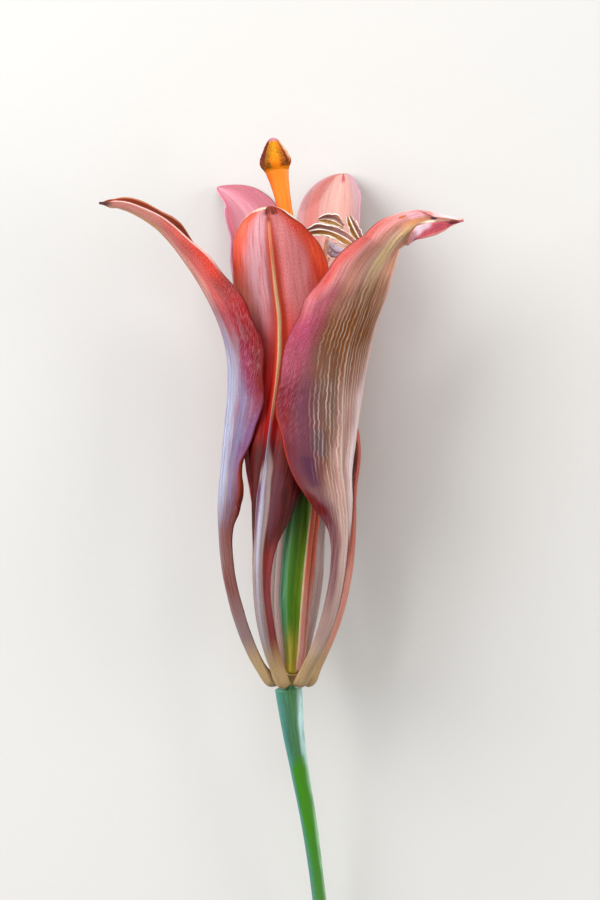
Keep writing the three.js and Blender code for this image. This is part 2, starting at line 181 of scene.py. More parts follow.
class Spine:
    """A smooth curve through stations, read by its share of the arc length."""

    STEPS = 200
    TANGENT_STEP = 0.004

    def __init__(self, stations: Sequence[Row]) -> None:
        """Measures the curve.

        Args:
            stations: Rows that start with x, y and z.
        """
        self.rows = np.array(stations, float)
        self.times = np.linspace(0.0, 1.0, self.STEPS + 1)
        self.lengths = arc_lengths(smooth_rows(self.rows, self.times))
        self.total = float(self.lengths[-1])

    def read(self, share: Array) -> Array:
        """Rows of numbers at shares of the length."""
        wanted = np.clip(share, 0.0, 1.0) * self.total
        return smooth_rows(self.rows, np.interp(wanted, self.lengths, self.times))

    def tangent(self, share: Array) -> Array:
        """Directions of the curve at shares of the length."""
        ahead = self.read(np.minimum(share + self.TANGENT_STEP, 1.0))[:, :3]
        return unit(ahead - self.read(np.maximum(share - self.TANGENT_STEP, 0.0))[:, :3])


class Face(Enum):
    """The side of a tepal that a wash of colour lies on."""

    OUTER = auto()
    INNER = auto()
    BOTH = auto()


class Grain(Enum):
    """How the colour of a wash breaks up."""

    PLAIN = auto()  # nearly even
    STREAKED = auto()  # in soft streaks along the veins
    FLECKED = auto()  # in short separate flecks
    VEINED = auto()  # only on the raised veins
    SATIN = auto()  # in fine slanting lines
    HOLLOW = auto()  # only inside the pouches of an anther
    LINED = auto()  # in thin wavering lines along the veins


@dataclass
class Lie:
    """Where the points of a surface lie on the piece.

    along is millimetres from the base and side runs from -1 at the left margin to 1 at the right one, or
    once round a stem from underneath. across is millimetres from the midrib, and edge millimetres from the
    margin.
    """

    along: Array
    side: Array
    across: Array
    edge: Array
    seed: int = 0


@dataclass(frozen=True)
class Wash:
    """A soft band of colour laid along a piece.

    rows are (along, from side, to side, strength), where -2 and 2 lie past the margins, or else (along,
    strength) for the whole width. soft is how gently the sides fade, gain is how far streaks strengthen and
    weaken the colour, and face says which side of a tepal it lies on. A wash fades out beyond its rows.
    """

    colour: str
    rows: tuple[Row, ...]
    soft: float = 0.18
    grain: Grain = Grain.STREAKED
    face: Face = Face.OUTER
    gain: float = 0.35
    reach: float = 4.0  # millimetres over which it fades out beyond its first and last row
    stray: float = 0.35  # how far its sides wander, as a share of soft

    def mask(self, lie: Lie, seed: int) -> Array:
        """How strongly the wash covers each point.

        Args:
            lie: Where the points lie.
            seed: Sets the wash's own irregular edge.

        Returns:
            Values from 0 to 1.
        """
        whole = [(row[0], *WHOLE_WIDTH, row[1]) if len(row) == 2 else row for row in self.rows]
        rows = np.array(whole, float)
        segment = np.clip(np.searchsorted(rows[:, 0], lie.along) - 1, 0, len(rows) - 2)
        gap = rows[segment + 1, 0] - rows[segment, 0]
        f = ease(0.0, 1.0, (lie.along - rows[segment, 0]) / np.maximum(gap, 1e-6))[..., None]
        start, end, strength = np.moveaxis(rows[segment, 1:] * (1 - f) + rows[segment + 1, 1:] * f, -1, 0)
        wander = self.stray * self.soft * grain(lie.across * 0.9, lie.along * 0.35, seed + 11)
        side = lie.side + wander
        covered = ease(start - self.soft, start + self.soft, side)
        covered = covered * (1.0 - ease(end - self.soft, end + self.soft, side)) * strength
        covered = covered * ease(rows[0, 0] - self.reach, rows[0, 0], lie.along)
        covered = covered * (1.0 - ease(rows[-1, 0], rows[-1, 0] + self.reach, lie.along))
        return np.clip(covered, 0.0, 1.0)


def spot(along: float, side: float, length: float, width: float, strength: float) -> tuple[Row, ...]:
    """Lays out the rows of a wash as an oval spot.

    Args:
        along: Where its middle is along the piece.
        side: Where its middle is from margin to margin.
        length: Half its length in millimetres.
        width: Half its width, as a share of the half width of the piece.
        strength: How strongly it covers.

    Returns:
        The rows.
    """
    return tuple((along + length * a, side - width * w, side + width * w, strength * s) for a, w, s in OVAL)


class Nodes:
    """Builds the node tree of one material."""

    NOISE_ROUGHNESS = 0.6

    def __init__(self, name: str) -> None:
        """Starts an empty material.

        Args:
            name: The material's name.
        """
        self.material = bpy.data.materials.new(name)
        self.material.use_nodes = True
        self.tree = self.material.node_tree
        self.tree.nodes.clear()

    def add(self, kind: str, **settings: object) -> bpy.types.Node:
        """Adds a node.

        Args:
            kind: The node's type.
            **settings: Its settings by name.

        Returns:
            The node.
        """
        node = self.tree.nodes.new(kind)
        for key, value in settings.items():
            setattr(node, key, value)
        return node

    def feed(self, socket: bpy.types.NodeSocket, value: object) -> None:
        """Links a socket to another one, or sets its number or colour.

        Args:
            socket: The socket to feed.
            value: The other socket, or the number or colour.
        """
        if isinstance(value, bpy.types.NodeSocket):
            self.tree.links.new(value, socket)
        else:
            socket.default_value = value

    def attribute(self, name: str) -> bpy.types.Node:
        """Reads a value that the mesh carries."""
        return self.add("ShaderNodeAttribute", attribute_name=name)

    def math(self, operation: str, *values: object, clamp: bool = False) -> bpy.types.NodeSocket:
        """Works out a sum.

        Args:
            operation: The kind of sum.
            *values: Up to three numbers or sockets.
            clamp: Whether the result is held between 0 and 1.

        Returns:
            The result.
        """
        node = self.add("ShaderNodeMath", operation=operation, use_clamp=clamp)
        for socket, value in zip(node.inputs, values):
            self.feed(socket, value)
        return node.outputs[0]

    def mix(self, factor: object, low: object, high: object, blend: str = "MIX") -> bpy.types.NodeSocket:
        """Mixes two colours.

        Args:
            factor: How much of the second one shows.
            low: The first colour.
            high: The second colour.
            blend: How they blend.

        Returns:
            The mixed colour.
        """
        node = self.add("ShaderNodeMix", data_type="RGBA", blend_type=blend, clamp_result=False)
        for index, value in ((0, factor), (6, low), (7, high)):
            self.feed(node.inputs[index], value)
        return node.outputs[2]

    def remap(self, value: object, *limits: float) -> bpy.types.NodeSocket:
        """Maps a range of values onto another.

        Args:
            value: What is mapped.
            *limits: The two ends of the range, and the values they are mapped to.

        Returns:
            The mapped value.
        """
        node = self.add("ShaderNodeMapRange")
        for index, number in enumerate((value, *limits)):
            self.feed(node.inputs[index], number)
        return node.outputs[0]

    def noise(
        self, vector: object, scale: tuple[float, float, float], detail: float
    ) -> bpy.types.NodeSocket:
        """Adds smooth noise.

        Args:
            vector: The place that it is read at.
            scale: Its scale in each direction.
            detail: How many finer layers it has.

        Returns:
            Values round 0.5.
        """
        stretch = self.add("ShaderNodeVectorMath", operation="MULTIPLY")
        self.feed(stretch.inputs[0], vector)
        stretch.inputs[1].default_value = scale
        node = self.add("ShaderNodeTexNoise", noise_dimensions="3D")
        self.feed(node.inputs["Vector"], stretch.outputs[0])
        node.inputs["Scale"].default_value = 1.0
        node.inputs["Detail"].default_value = detail
        node.inputs["Roughness"].default_value = self.NOISE_ROUGHNESS
        return node.outputs[0]

    def slanted(self, vector: object, degrees: float) -> bpy.types.NodeSocket:
        """Turns a vector in the plane of the surface.

        Args:
            vector: The vector.
            degrees: How far it is turned.

        Returns:
            The turned vector.
        """
        node = self.add("ShaderNodeVectorRotate", rotation_type="Z_AXIS")
        self.feed(node.inputs["Vector"], vector)
        node.inputs["Angle"].default_value = math.radians(degrees)
        return node.outputs[0]

    def surface(
        self, colour: object, roughness: object, height: object, skin: "Skin"
    ) -> bpy.types.Material:
        """Closes the tree with the shader.

        Args:
            colour: The surface's colour.
            roughness: Its roughness.
            height: The fine relief for the bump.
            skin: The finish that holds the other settings.

        Returns:
            The finished material.
        """
        shader = self.add("ShaderNodeBsdfPrincipled")
        relief = self.add("ShaderNodeBump")
        relief.inputs["Strength"].default_value = skin.relief
        relief.inputs["Distance"].default_value = skin.relief_depth * MM
        self.feed(relief.inputs["Height"], height)
        self.feed(shader.inputs["Base Color"], colour)
        self.feed(shader.inputs["Roughness"], roughness)
        self.feed(shader.inputs["Normal"], relief.outputs[0])
        shader.inputs["Specular IOR Level"].default_value = skin.shine
        shader.inputs["Subsurface Weight"].default_value = skin.glow
        shader.inputs["Subsurface Radius"].default_value = skin.glow_spread
        shader.inputs["Subsurface Scale"].default_value = skin.glow_depth * MM
        output = self.add("ShaderNodeOutputMaterial")
        self.tree.links.new(shader.outputs[0], output.inputs[0])
        return self.material


@dataclass(frozen=True)
class Skin:
    """The finish of one living surface: a base colour, washes over it, and fine grain along the veins."""

    name: str
    base: str
    washes: tuple[Wash, ...] = ()
    streaks: tuple[float, float] = (2.6, 0.16)  # cells per millimetre across and along the veins
    flecks: tuple[float, float] = (7.0, 4.5)
    satin: tuple[float, float] = (6.5, 0.9)
    satin_slant: float = 24.0
    fine: tuple[float, float] = (9.0, 4.5)
    lines: float = 1.7  # thin lines for each millimetre
    line_waver: float = 0.2  # how far they waver, as a share of the distance between them
    line_width: float = 0.26  # half their width, as a share of the same
    dark: str = "#5A2420"
    dark_streaks: float = 0.18  # how far dark streaks cover the colour
    shade: float = 0.14  # how far the finest grain darkens and lightens the colour
    roughness: float = 0.5
    shine: float = 0.14
    glow: float = 0.15
    glow_depth: float = 0.7
    glow_spread: tuple[float, float, float] = (1.0, 0.4, 0.3)  # shares of the depth for red, green and blue
    relief: float = 0.45
    relief_depth: float = 0.12

    def masks(self, outer: Lie, inner: Optional[Lie] = None) -> dict[str, tuple[Array, Array]]:
        """How strongly each wash covers the outer and the inner face.

        Args:
            outer: Where the points of the outer face lie.
            inner: The same for the inner face, or None for a piece with one face.

        Returns:
            A pair of masks for each wash's attribute.
        """
        found = {}
        for index, wash in enumerate(self.washes):
            mask = wash.mask(outer, outer.seed * 31 + index * 7)
            nothing = np.zeros_like(mask)
            found[f"wash_{index}"] = (
                nothing if wash.face is Face.INNER and inner is not None else mask,
                nothing if wash.face is Face.OUTER or inner is None else mask,
            )
        return found

    def material(self) -> bpy.types.Material:
        """Builds the finish's nodes.

        Returns:
            The material.
        """
        nodes = Nodes(self.name)
        lie = nodes.attribute("lie").outputs["Vector"]
        strand = nodes.attribute("strand").outputs["Vector"]
        vein = nodes.attribute("vein").outputs["Fac"]
        streak = nodes.noise(strand, (*self.streaks, 1.0), 4.0)
        fine = nodes.noise(lie, (*self.fine, 1.0), 3.0)
        flecks = nodes.remap(nodes.noise(lie, (*self.flecks, 1.0), 2.0), 0.42, 0.66, 0.0, 1.0)
        satin_lie = nodes.slanted(lie, self.satin_slant)
        satin = nodes.noise(satin_lie, (*self.satin, 1.0), 3.0)
        patterns = {
            Grain.PLAIN: nodes.remap(streak, *NOISE_RANGE, 0.92, 1.08),
            Grain.FLECKED: flecks,
            Grain.VEINED: vein,
            Grain.HOLLOW: nodes.attribute("hollow").outputs["Fac"],
            Grain.SATIN: nodes.remap(satin, 0.46, 0.64, 0.0, 1.0),
            Grain.LINED: self.thin_lines(nodes, lie, strand),
        }
        colour: object = linear(self.base)
        darker = nodes.remap(streak, 0.5, 0.3, 0.0, self.dark_streaks)
        for index, wash in enumerate(self.washes):
            pattern = patterns.get(wash.grain)
            if wash.grain is Grain.STREAKED:
                pattern = nodes.remap(streak, 0.32, 0.68, 1.0 - wash.gain, 1.0 + wash.gain)
            covered = nodes.attribute(f"wash_{index}").outputs["Fac"]
            amount = nodes.math("MULTIPLY", covered, pattern, clamp=True)
            colour = nodes.mix(amount, colour, linear(wash.colour))
        colour = nodes.mix(darker, colour, linear(self.dark))
        shade = nodes.remap(fine, *NOISE_RANGE, 1.0 - self.shade, 1.0 + self.shade)
        colour = nodes.mix(1.0, colour, shade, blend="MULTIPLY")
        height = nodes.math("ADD", nodes.math("MULTIPLY", streak, 0.7), nodes.math("MULTIPLY", satin, 0.4))
        height = nodes.math("ADD", height, nodes.math("MULTIPLY", fine, 0.7))
        roughness = nodes.remap(fine, *NOISE_RANGE, self.roughness - 0.07, self.roughness + 0.08)
        return nodes.surface(colour, roughness, height, self)

    def thin_lines(self, nodes: Nodes, lie: object, strand: object) -> bpy.types.NodeSocket:
        """Builds thin lines that waver and fade on their way along the veins.

        Args:
            nodes: The tree to build in.
            lie: The place on the surface, in millimetres.
            strand: The place on the surface, as the veins lie.

        Returns:
            How strongly a point is on a line.
        """
        split = nodes.add("ShaderNodeSeparateXYZ")
        nodes.feed(split.inputs[0], strand)
        wide = nodes.noise(lie, (0.7, 0.8, 1.0), 1.0)
        waver = nodes.remap(wide, *NOISE_RANGE, -self.line_waver, self.line_waver)
        place_on = nodes.math("MULTIPLY_ADD", split.outputs[0], self.lines, waver)
        line = nodes.remap(nodes.math("PINGPONG", place_on, 0.5), 0.0, self.line_width, 1.0, 0.0)
        fading = nodes.remap(nodes.noise(strand, (1.1, 0.14, 1.0), 2.0), 0.36, 0.62, 0.0, 1.0)
        return nodes.math("MULTIPLY", line, fading)


def build_object(
    name: str,
    points: Array,
    faces: list[tuple[int, ...]],
    values: dict[str, Array],
    vectors: dict[str, Array],
) -> bpy.types.Object:
    """Makes a mesh object that carries the values its finish reads.

    Args:
        name: The piece's name.
        points: Vertices in millimetres of the flower's frame.
        faces: Vertex numbers of each face.
        values: One number for each vertex, for each attribute.
        vectors: The places that fine grain follows, for each attribute.

    Returns:
        The object, linked to the scene.
    """
    mesh = bpy.data.meshes.new(name)
    mesh.from_pydata(place(points).tolist(), [], faces)
    for key, numbers in values.items():
        attribute = mesh.attributes.new(key, "FLOAT", "POINT")
        attribute.data.foreach_set("value", np.ascontiguousarray(numbers, np.float32))
    for key, places in vectors.items():
        attribute = mesh.attributes.new(key, "FLOAT_VECTOR", "POINT")
        attribute.data.foreach_set("vector", np.ascontiguousarray(places, np.float32).ravel())
    mesh.shade_smooth()
    piece = bpy.data.objects.new(name, mesh)
    bpy.context.scene.collection.objects.link(piece)
    return piece


def finish_piece(piece: bpy.types.Object, skin: Skin, node: str) -> bpy.types.Object:
    """Dresses a piece, hangs it from the root body and hides the node that it stands for.

    Args:
        piece: The piece.
        skin: Its finish.
        node: The node it replaces.

    Returns:
        The same piece.
    """
    piece.data.materials.append(skin.material())
    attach(piece, ROOT_BODY)
    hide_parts(node)
    return piece


@dataclass(frozen=True)
class Fold:
    """A strip along a margin that is folded over.

    rows are (along, share of the half width where it folds, degrees), and degrees below 0 fold it towards
    the back.
    """

    side: int
    rows: tuple[tuple[float, float, float], ...]
    width: float = 0.16

    def bend(self, along: Array, place: Array) -> Array:
        """Works out the angle that the fold adds.

        Args:
            along: Millimetres from the base.
            place: The share of the half width, from midrib to margin.

        Returns:
            Angles in radians.
        """
        rows = np.array(self.rows, float)
        where, degrees = (np.interp(along, rows[:, 0], rows[:, i]) for i in (1, 2))
        return np.radians(degrees) * ease(where - self.width / 2, where + self.width / 2, place)


@dataclass(frozen=True)
class Bumps:
    """Random unevenness: how high it is, and the size of one bump across and along, in millimetres."""

    height: float
    across: float
    along: float

    def at(self, lie: Lie, seed: int) -> Array:
        """The height of the unevenness at each point."""
        return self.height * grain(lie.across / self.across, lie.along / self.along, seed)


@dataclass
class Tepal:
    """A clawed tepal: a narrow channelled claw that widens into a thin veined blade."""

    node: str
    slot: str
    facing: float  # degrees that the back's direction at the base is turned from straight up
    ridge: float  # height of the keel along the back
    wave_phase: float
    seed: int
    skin: Skin
    stations: Sequence[Row]  # X, Y, Z, half widths left and right, roll, curls left and right
    rows: int = 360
    half_columns: int = 55
    row_spread: float = 1.2  # above 1, rows lie closer towards the tip
    column_spread: float = 1.08  # above 1, columns lie closer towards the midrib
    claw_thickness: float = 0.9
    blade_thickness: float = 0.62
    rim_share: float = 0.5  # thickness at the margin, as a share of the blade's
    rim_round: float = 0.22
    tip_half_width: float = 0.3
    tip_start: float = 0.9
    wave_height: float = 0.22
    wave_length: float = 7.5
    wave_reach: float = 8.0  # millimetres from the midrib where the wave has its full height
    ragged: tuple[tuple[float, float], ...] = ((0.012, 1.1), (0.02, 4.0))  # share of the width, length
    pillow: float = 0.0  # how far each half of the blade bulges between midrib and margin
    groove: float = 0.1
    vein_height: float = 0.045
    inner_vein_share: float = 0.4  # how high veins stand out of the inner face, as a share
    vein_spread: float = 15.0  # cells of the vein pattern from midrib to margin
    crumple: float = 0.0  # how far the withered tip is crumpled
    crumple_from: float = 70.0
    foot_swell: float = 0.32
    folds: tuple[Fold, ...] = ()
    twists: tuple[tuple[float, float], ...] = ((0.0, 0.0),)  # turns about the spine: (along, degrees)
    tip_thickness: float = 0.36
    tip_thinning: tuple[float, float] = (0.8, 0.9)  # where the tip gets thin, as shares of the length
    claw_end: tuple[float, float] = (0.2, 0.45)  # where the claw turns into the blade, likewise
    margin_thinning: float = 2.5
    foot_round: float = 1.1
    tip_round: float = 0.5
    swell_place: float = 1.2
    swell_length: float = 1.5
    dents: Bumps = Bumps(0.13, 3.2, 10.0)
    small_dents: Bumps = Bumps(0.05, 1.3, 3.5)
    back_wrinkles: Bumps = Bumps(0.012, 0.5, 0.9)
    inner_wrinkles: Bumps = Bumps(0.02, 0.45, 0.6)
    vein_wiggle: Bumps = Bumps(0.35, 1.4, 1.3)
    vein_ends: tuple[tuple[float, float], ...] = ((0.22, 0.36), (0.82, 0.95))  # shares of the length
    vein_edge: tuple[float, float] = (0.02, 0.2)  # where the side of a vein begins and ends
    rim_reach: float = 0.3  # millimetres from the margin that stay smooth
    keel_width: float = 0.5
    groove_place: float = 1.05
    groove_width: float = 0.4
    furrow_depth: float = 0.14
    furrow_width: float = 0.35

    def build(self) -> bpy.types.Object:
        """Builds the tepal's mesh and dresses it.

        Returns:
            The tepal's object.
        """
        middle, outward, lie = self.sheet()
        half = self.half_thickness(lie)
        veins = self.veins(lie)
        outer = middle + outward * (half + self.outer_relief(lie, veins))[..., None]
        inner = middle - outward * (half + self.inner_relief(lie, veins))[..., None]
        for surface in (outer, inner):
            lift_to_floor(surface)
        masks = self.skin.masks(lie, lie)
        masks["vein"] = (veins, 0.5 * veins)
        piece = self.shell(outer, inner, masks, lie)
        return finish_piece(piece, self.skin, self.node)

    def sheet(self) -> tuple[Array, Array, Lie]:
        """The middle of the tepal's thickness.

        Returns:
            Its points, the directions out of its back, and where they lie.
        """
        spine = Spine(self.stations)
        share = 1.0 - (1.0 - np.linspace(0.0, 1.0, self.rows + 1)) ** self.row_spread
        row, tangent = spine.read(share), spine.tangent(share)
        across = self.across(row, tangent, share * spine.total)
        outward = np.cross(across, tangent)
        steps = np.linspace(0.0, 1.0, self.half_columns + 1)[1:] ** self.column_spread
        side = np.concatenate([-steps[::-1], [0.0], steps])[None, :]
        width = self.half_width(row, share, side, spine.total)
        curl = np.radians(np.where(side < 0, row[:, CURL_LEFT, None], row[:, CURL_RIGHT, None]))
        along = np.broadcast_to(share[:, None] * spine.total, width.shape)
        angle = curl * np.abs(side)
        for fold in self.folds:
            angle = angle + np.where(np.sign(side) == fold.side, fold.bend(along, np.abs(side)), 0.0)
        distance = np.abs(side) * width
        sideways, inwards = (self.summed(turn(angle), distance) for turn in (np.cos, np.sin))
        sides = np.broadcast_to(side, width.shape)
        lie = Lie(along, sides, np.sign(side) * distance, width - distance, self.seed)
        phase = along * 2.0 * np.pi / self.wave_length + self.wave_phase + np.sign(side)
        wave = self.wave_height * (distance / self.wave_reach) ** 2 * np.sin(phase)
        lift = wave - inwards + self.swelling(lie, spine.total)
        points = row[:, None, :3] + across[:, None] * (np.sign(side) * sideways)[..., None]
        points = points + outward[:, None] * lift[..., None]
        lift_to_floor(points, self.blade_thickness / 2.0)
        along_rows, along_columns = np.gradient(points, axis=0), np.gradient(points, axis=1)
        return points, unit(np.cross(along_columns, along_rows)), lie

    def across(self, row: Array, tangent: Array, along: Array) -> Array:
        """Works out which way the tepal's width lies.

        Args:
            row: The station at each row.
            tangent: The spine's direction at each row.
            along: Millimetres from the base.

        Returns:
            Directions to the right margin.
        """
        facing = np.radians(self.facing - row[:, ROLL])
        across = np.stack([np.cos(facing), np.zeros_like(facing), -np.sin(facing)], axis=1)
        across = unit(across - tangent * np.sum(across * tangent, axis=1, keepdims=True))
        twist = np.radians(np.interp(along, *np.array(self.twists, float).T))[:, None]
        return across * np.cos(twist) + np.cross(tangent, across) * np.sin(twist)

    def half_width(self, row: Array, share: Array, side: Array, total: float) -> Array:
        """Works out the width of each half, which narrows to the tip and has a ragged margin.

        Args:
            row: The station at each row.
            share: The share of the length at each row.
            side: The place of each column from margin to margin.
            total: The tepal's length.

        Returns:
            Millimetres from the midrib to the margin.
        """
        past = np.clip((share - self.tip_start) / (1.0 - self.tip_start), 0.0, 1.0)
        narrowing = np.sqrt(1.0 - past**2)
        left = np.maximum(row[:, WIDTH_LEFT] * narrowing, self.tip_half_width)[:, None]
        right = np.maximum(row[:, WIDTH_RIGHT] * narrowing, self.tip_half_width)[:, None]
        place_on = share[:, None] * total + 50.0 * np.sign(side)  # far apart, so the margins differ
        uneven = sum(part * grain(place_on / length, 0.5, self.seed) for part, length in self.ragged)
        return np.where(side < 0, left, right) * (1.0 + uneven)

    def summed(self, slope: Array, distance: Array) -> Array:
        """Adds up a slope over the distance from the midrib outwards, on both halves.

        Args:
            slope: The slope at each point.
            distance: Millimetres from the midrib.

        Returns:
            The sum at each point.
        """
        middle = self.half_columns
        steps = 0.5 * (slope[:, 1:] + slope[:, :-1]) * np.abs(np.diff(distance, axis=1))
        right = np.cumsum(steps[:, middle:], axis=1)
        left = np.cumsum(steps[:, :middle][:, ::-1], axis=1)[:, ::-1]
        return np.concatenate([left, np.zeros((len(slope), 1)), right], axis=1)

    def swelling(self, lie: Lie, total: float) -> Array:
        """Works out how far both faces stand out together: pillowed halves, dents and a crumpled tip.

        Args:
            lie: Where the points lie.
            total: The tepal's length.

        Returns:
            Millimetres towards the back.
        """
        blade = ease(0.3 * total, 0.55 * total, lie.along) * (1.0 - ease(0.9 * total, total, lie.along))
        off_rib = np.abs(lie.side)
        pillow = self.pillow * np.sin(np.pi * np.clip(off_rib, 0.0, 1.0)) * blade
        away = ease(0.1, 0.5, off_rib)
        dents = self.dents.at(lie, self.seed) * away + self.small_dents.at(lie, self.seed + 1) * away
        crumple = Bumps(self.crumple, 0.8, 1.1).at(lie, self.seed + 2)
        return pillow + dents * blade + crumple * ease(self.crumple_from, total, lie.along)

    def half_thickness(self, lie: Lie) -> Array:
        """Works out half the thickness: stout in the claw, thin at the margin, rounded at rim and ends.

        Args:
            lie: Where the points lie.

        Returns:
            Millimetres from the middle to either face.
        """
        total = float(lie.along.max())
        stout = 1.0 - ease(*self.claw_end, lie.along / total)
        whole = self.blade_thickness + (self.claw_thickness - self.blade_thickness) * stout
        thinning = ease(*self.tip_thinning, lie.along / total)
        whole = whole + (self.tip_thickness - whole) * thinning
        thin = self.rim_share + (1.0 - self.rim_share) * ease(0.0, self.margin_thinning, lie.edge)
        thin = thin + (1.0 - thin) * stout
        rim = rounded(np.clip(lie.edge / self.rim_round, 0.0, 1.0))
        foot = rounded(np.clip(lie.along / self.foot_round, 0.02, 1.0))
        tip = rounded(np.clip((total - lie.along) / self.tip_round, 0.1, 1.0))
        swell = self.foot_swell * bump(lie.along - self.swell_place, self.swell_length)
        return (whole / 2.0 * thin + swell) * rim * foot * tip

    def veins(self, lie: Lie) -> Array:
        """Draws fine veins that wander, part and meet on their way up the blade.

        Args:
            lie: Where the points lie.

        Returns:
            1 on a vein and 0 between veins.
        """
        total = float(lie.along.max())
        wiggle = self.vein_wiggle.at(lie, self.seed + 7)
        line = grain(lie.side * self.vein_spread + wiggle, lie.along * 0.03, self.seed + 3)
        vein = 1.0 - ease(*self.vein_edge, np.abs(line))
        (first, full), (fading, last) = np.array(self.vein_ends) * total
        fade = ease(first, full, lie.along) * (1.0 - ease(fading, last, lie.along))
        broken = 0.7 + 0.6 * grain(lie.side * 14.0, lie.along / 7.0, self.seed + 6)
        return vein * fade * np.clip(broken, 0.0, 1.0) * ease(0.06, 0.14, np.abs(lie.side))

    def outer_relief(self, lie: Lie, veins: Array) -> Array:
        """Works out what stands out of the back: the keel, its grooves, the veins and fine wrinkles.

        Args:
            lie: Where the points lie.
            veins: Where the veins are.

        Returns:
            Millimetres above the plain face.
        """
        total = float(lie.along.max())
        distance = np.abs(lie.across)
        inside = ease(0.0, self.rim_reach, lie.edge)
        fade = 1.0 - ease(0.9 * total, total, lie.along)
        grooves = self.groove * bump(distance - self.groove_place, self.groove_width)
        keel = self.ridge * bump(distance, self.keel_width) - grooves
        wrinkle = self.back_wrinkles.at(lie, self.seed + 4)
        return (keel * fade + self.vein_height * veins + wrinkle) * inside

    def inner_relief(self, lie: Lie, veins: Array) -> Array:
        """Works out what stands out of the inner face: a furrow along the midrib, and fine wrinkles.

        Args:
            lie: Where the points lie.
            veins: Where the veins are.

        Returns:
            Millimetres above the plain face.
        """
        inside = ease(0.0, self.rim_reach, lie.edge)
        furrow = -self.furrow_depth * bump(np.abs(lie.across), self.furrow_width)
        wrinkle = self.inner_wrinkles.at(lie, self.seed + 5)
        return (furrow + self.inner_vein_share * self.vein_height * veins + wrinkle) * inside

    def shell(
        self, outer: Array, inner: Array, masks: dict[str, tuple[Array, Array]], lie: Lie
    ) -> bpy.types.Object:
        """Closes both faces into one shell with a shared rim.

        Args:
            outer: Points of the back.
            inner: Points of the inner face.
            masks: What each face carries.
            lie: Where the points lie.

        Returns:
            The tepal's object.
        """
        rows, columns = outer.shape[:2]
        top = np.arange(rows * columns).reshape(rows, columns)
        under = top.copy()
        under[:, 1:-1] = rows * columns + np.arange(rows * (columns - 2)).reshape(rows, columns - 2)
        back = np.stack([top[:-1, :-1], top[:-1, 1:], top[1:, 1:], top[1:, :-1]], axis=-1).reshape(-1, 4)
        front = np.stack([under[:-1, :-1], under[1:, :-1], under[1:, 1:], under[:-1, 1:]], axis=-1)
        front = front.reshape(-1, 4)
        foot = np.stack([top[0, :-1], under[0, :-1], under[0, 1:], top[0, 1:]], axis=-1)
        tip = np.stack([top[-1, :-1], top[-1, 1:], under[-1, 1:], under[-1, :-1]], axis=-1)
        closing = [tuple(dict.fromkeys(quad)) for quad in np.concatenate([foot, tip]).tolist()]
        faces = [tuple(quad) for quad in np.concatenate([back, front]).tolist()] + closing

        def both(first: Array, second: Array) -> Array:
            """Joins values of the back and of the inner face in vertex order."""
            own = second[:, 1:-1].reshape(rows * (columns - 2), -1)
            return np.concatenate([first.reshape(rows * columns, -1), own])

        values = {key: both(first, second).ravel() for key, (first, second) in masks.items()}
        vectors = {}
        width = np.abs(lie.across) + lie.edge
        for key, place_across in (("lie", lie.across), ("strand", lie.side * 3.0 * np.sqrt(width))):
            flat = np.stack([place_across, lie.along, np.full_like(width, self.seed)], axis=-1)
            vectors[key] = both(flat, flat + [0.0, 0.0, 9.0])
        piece = build_object(self.node + "_skin", both(outer, inner), faces, values, vectors)
        side, along = (both(numbers, numbers).ravel() for numbers in (lie.side, lie.along))
        self.unfold(piece, side, along, len(back), len(front))
        return piece

    @staticmethod
    def unfold(piece: bpy.types.Object, side: Array, along: Array, backs: int, fronts: int) -> None:
        """Lays both faces side by side in a flat map.

        Args:
            piece: The tepal's object.
            side: Each vertex's place from margin to margin.
            along: Each vertex's place along the tepal.
            backs: How many faces the back has. They come first.
            fronts: How many faces the inner side has.
        """
        mesh = piece.data
        corners = np.zeros(len(mesh.loops), np.int32)
        mesh.loops.foreach_get("vertex_index", corners)
        is_front = np.zeros(len(corners), bool)
        is_front[4 * backs : 4 * (backs + fronts)] = True
        u = 0.24 + 0.23 * side[corners] + np.where(is_front, 0.5, 0.0)
        v = 0.01 + 0.98 * along[corners] / along.max()
        layer = mesh.uv_layers.new(name="OFBake")
        layer.uv.foreach_set("vector", np.stack([u, v], axis=1).astype(np.float32).ravel())


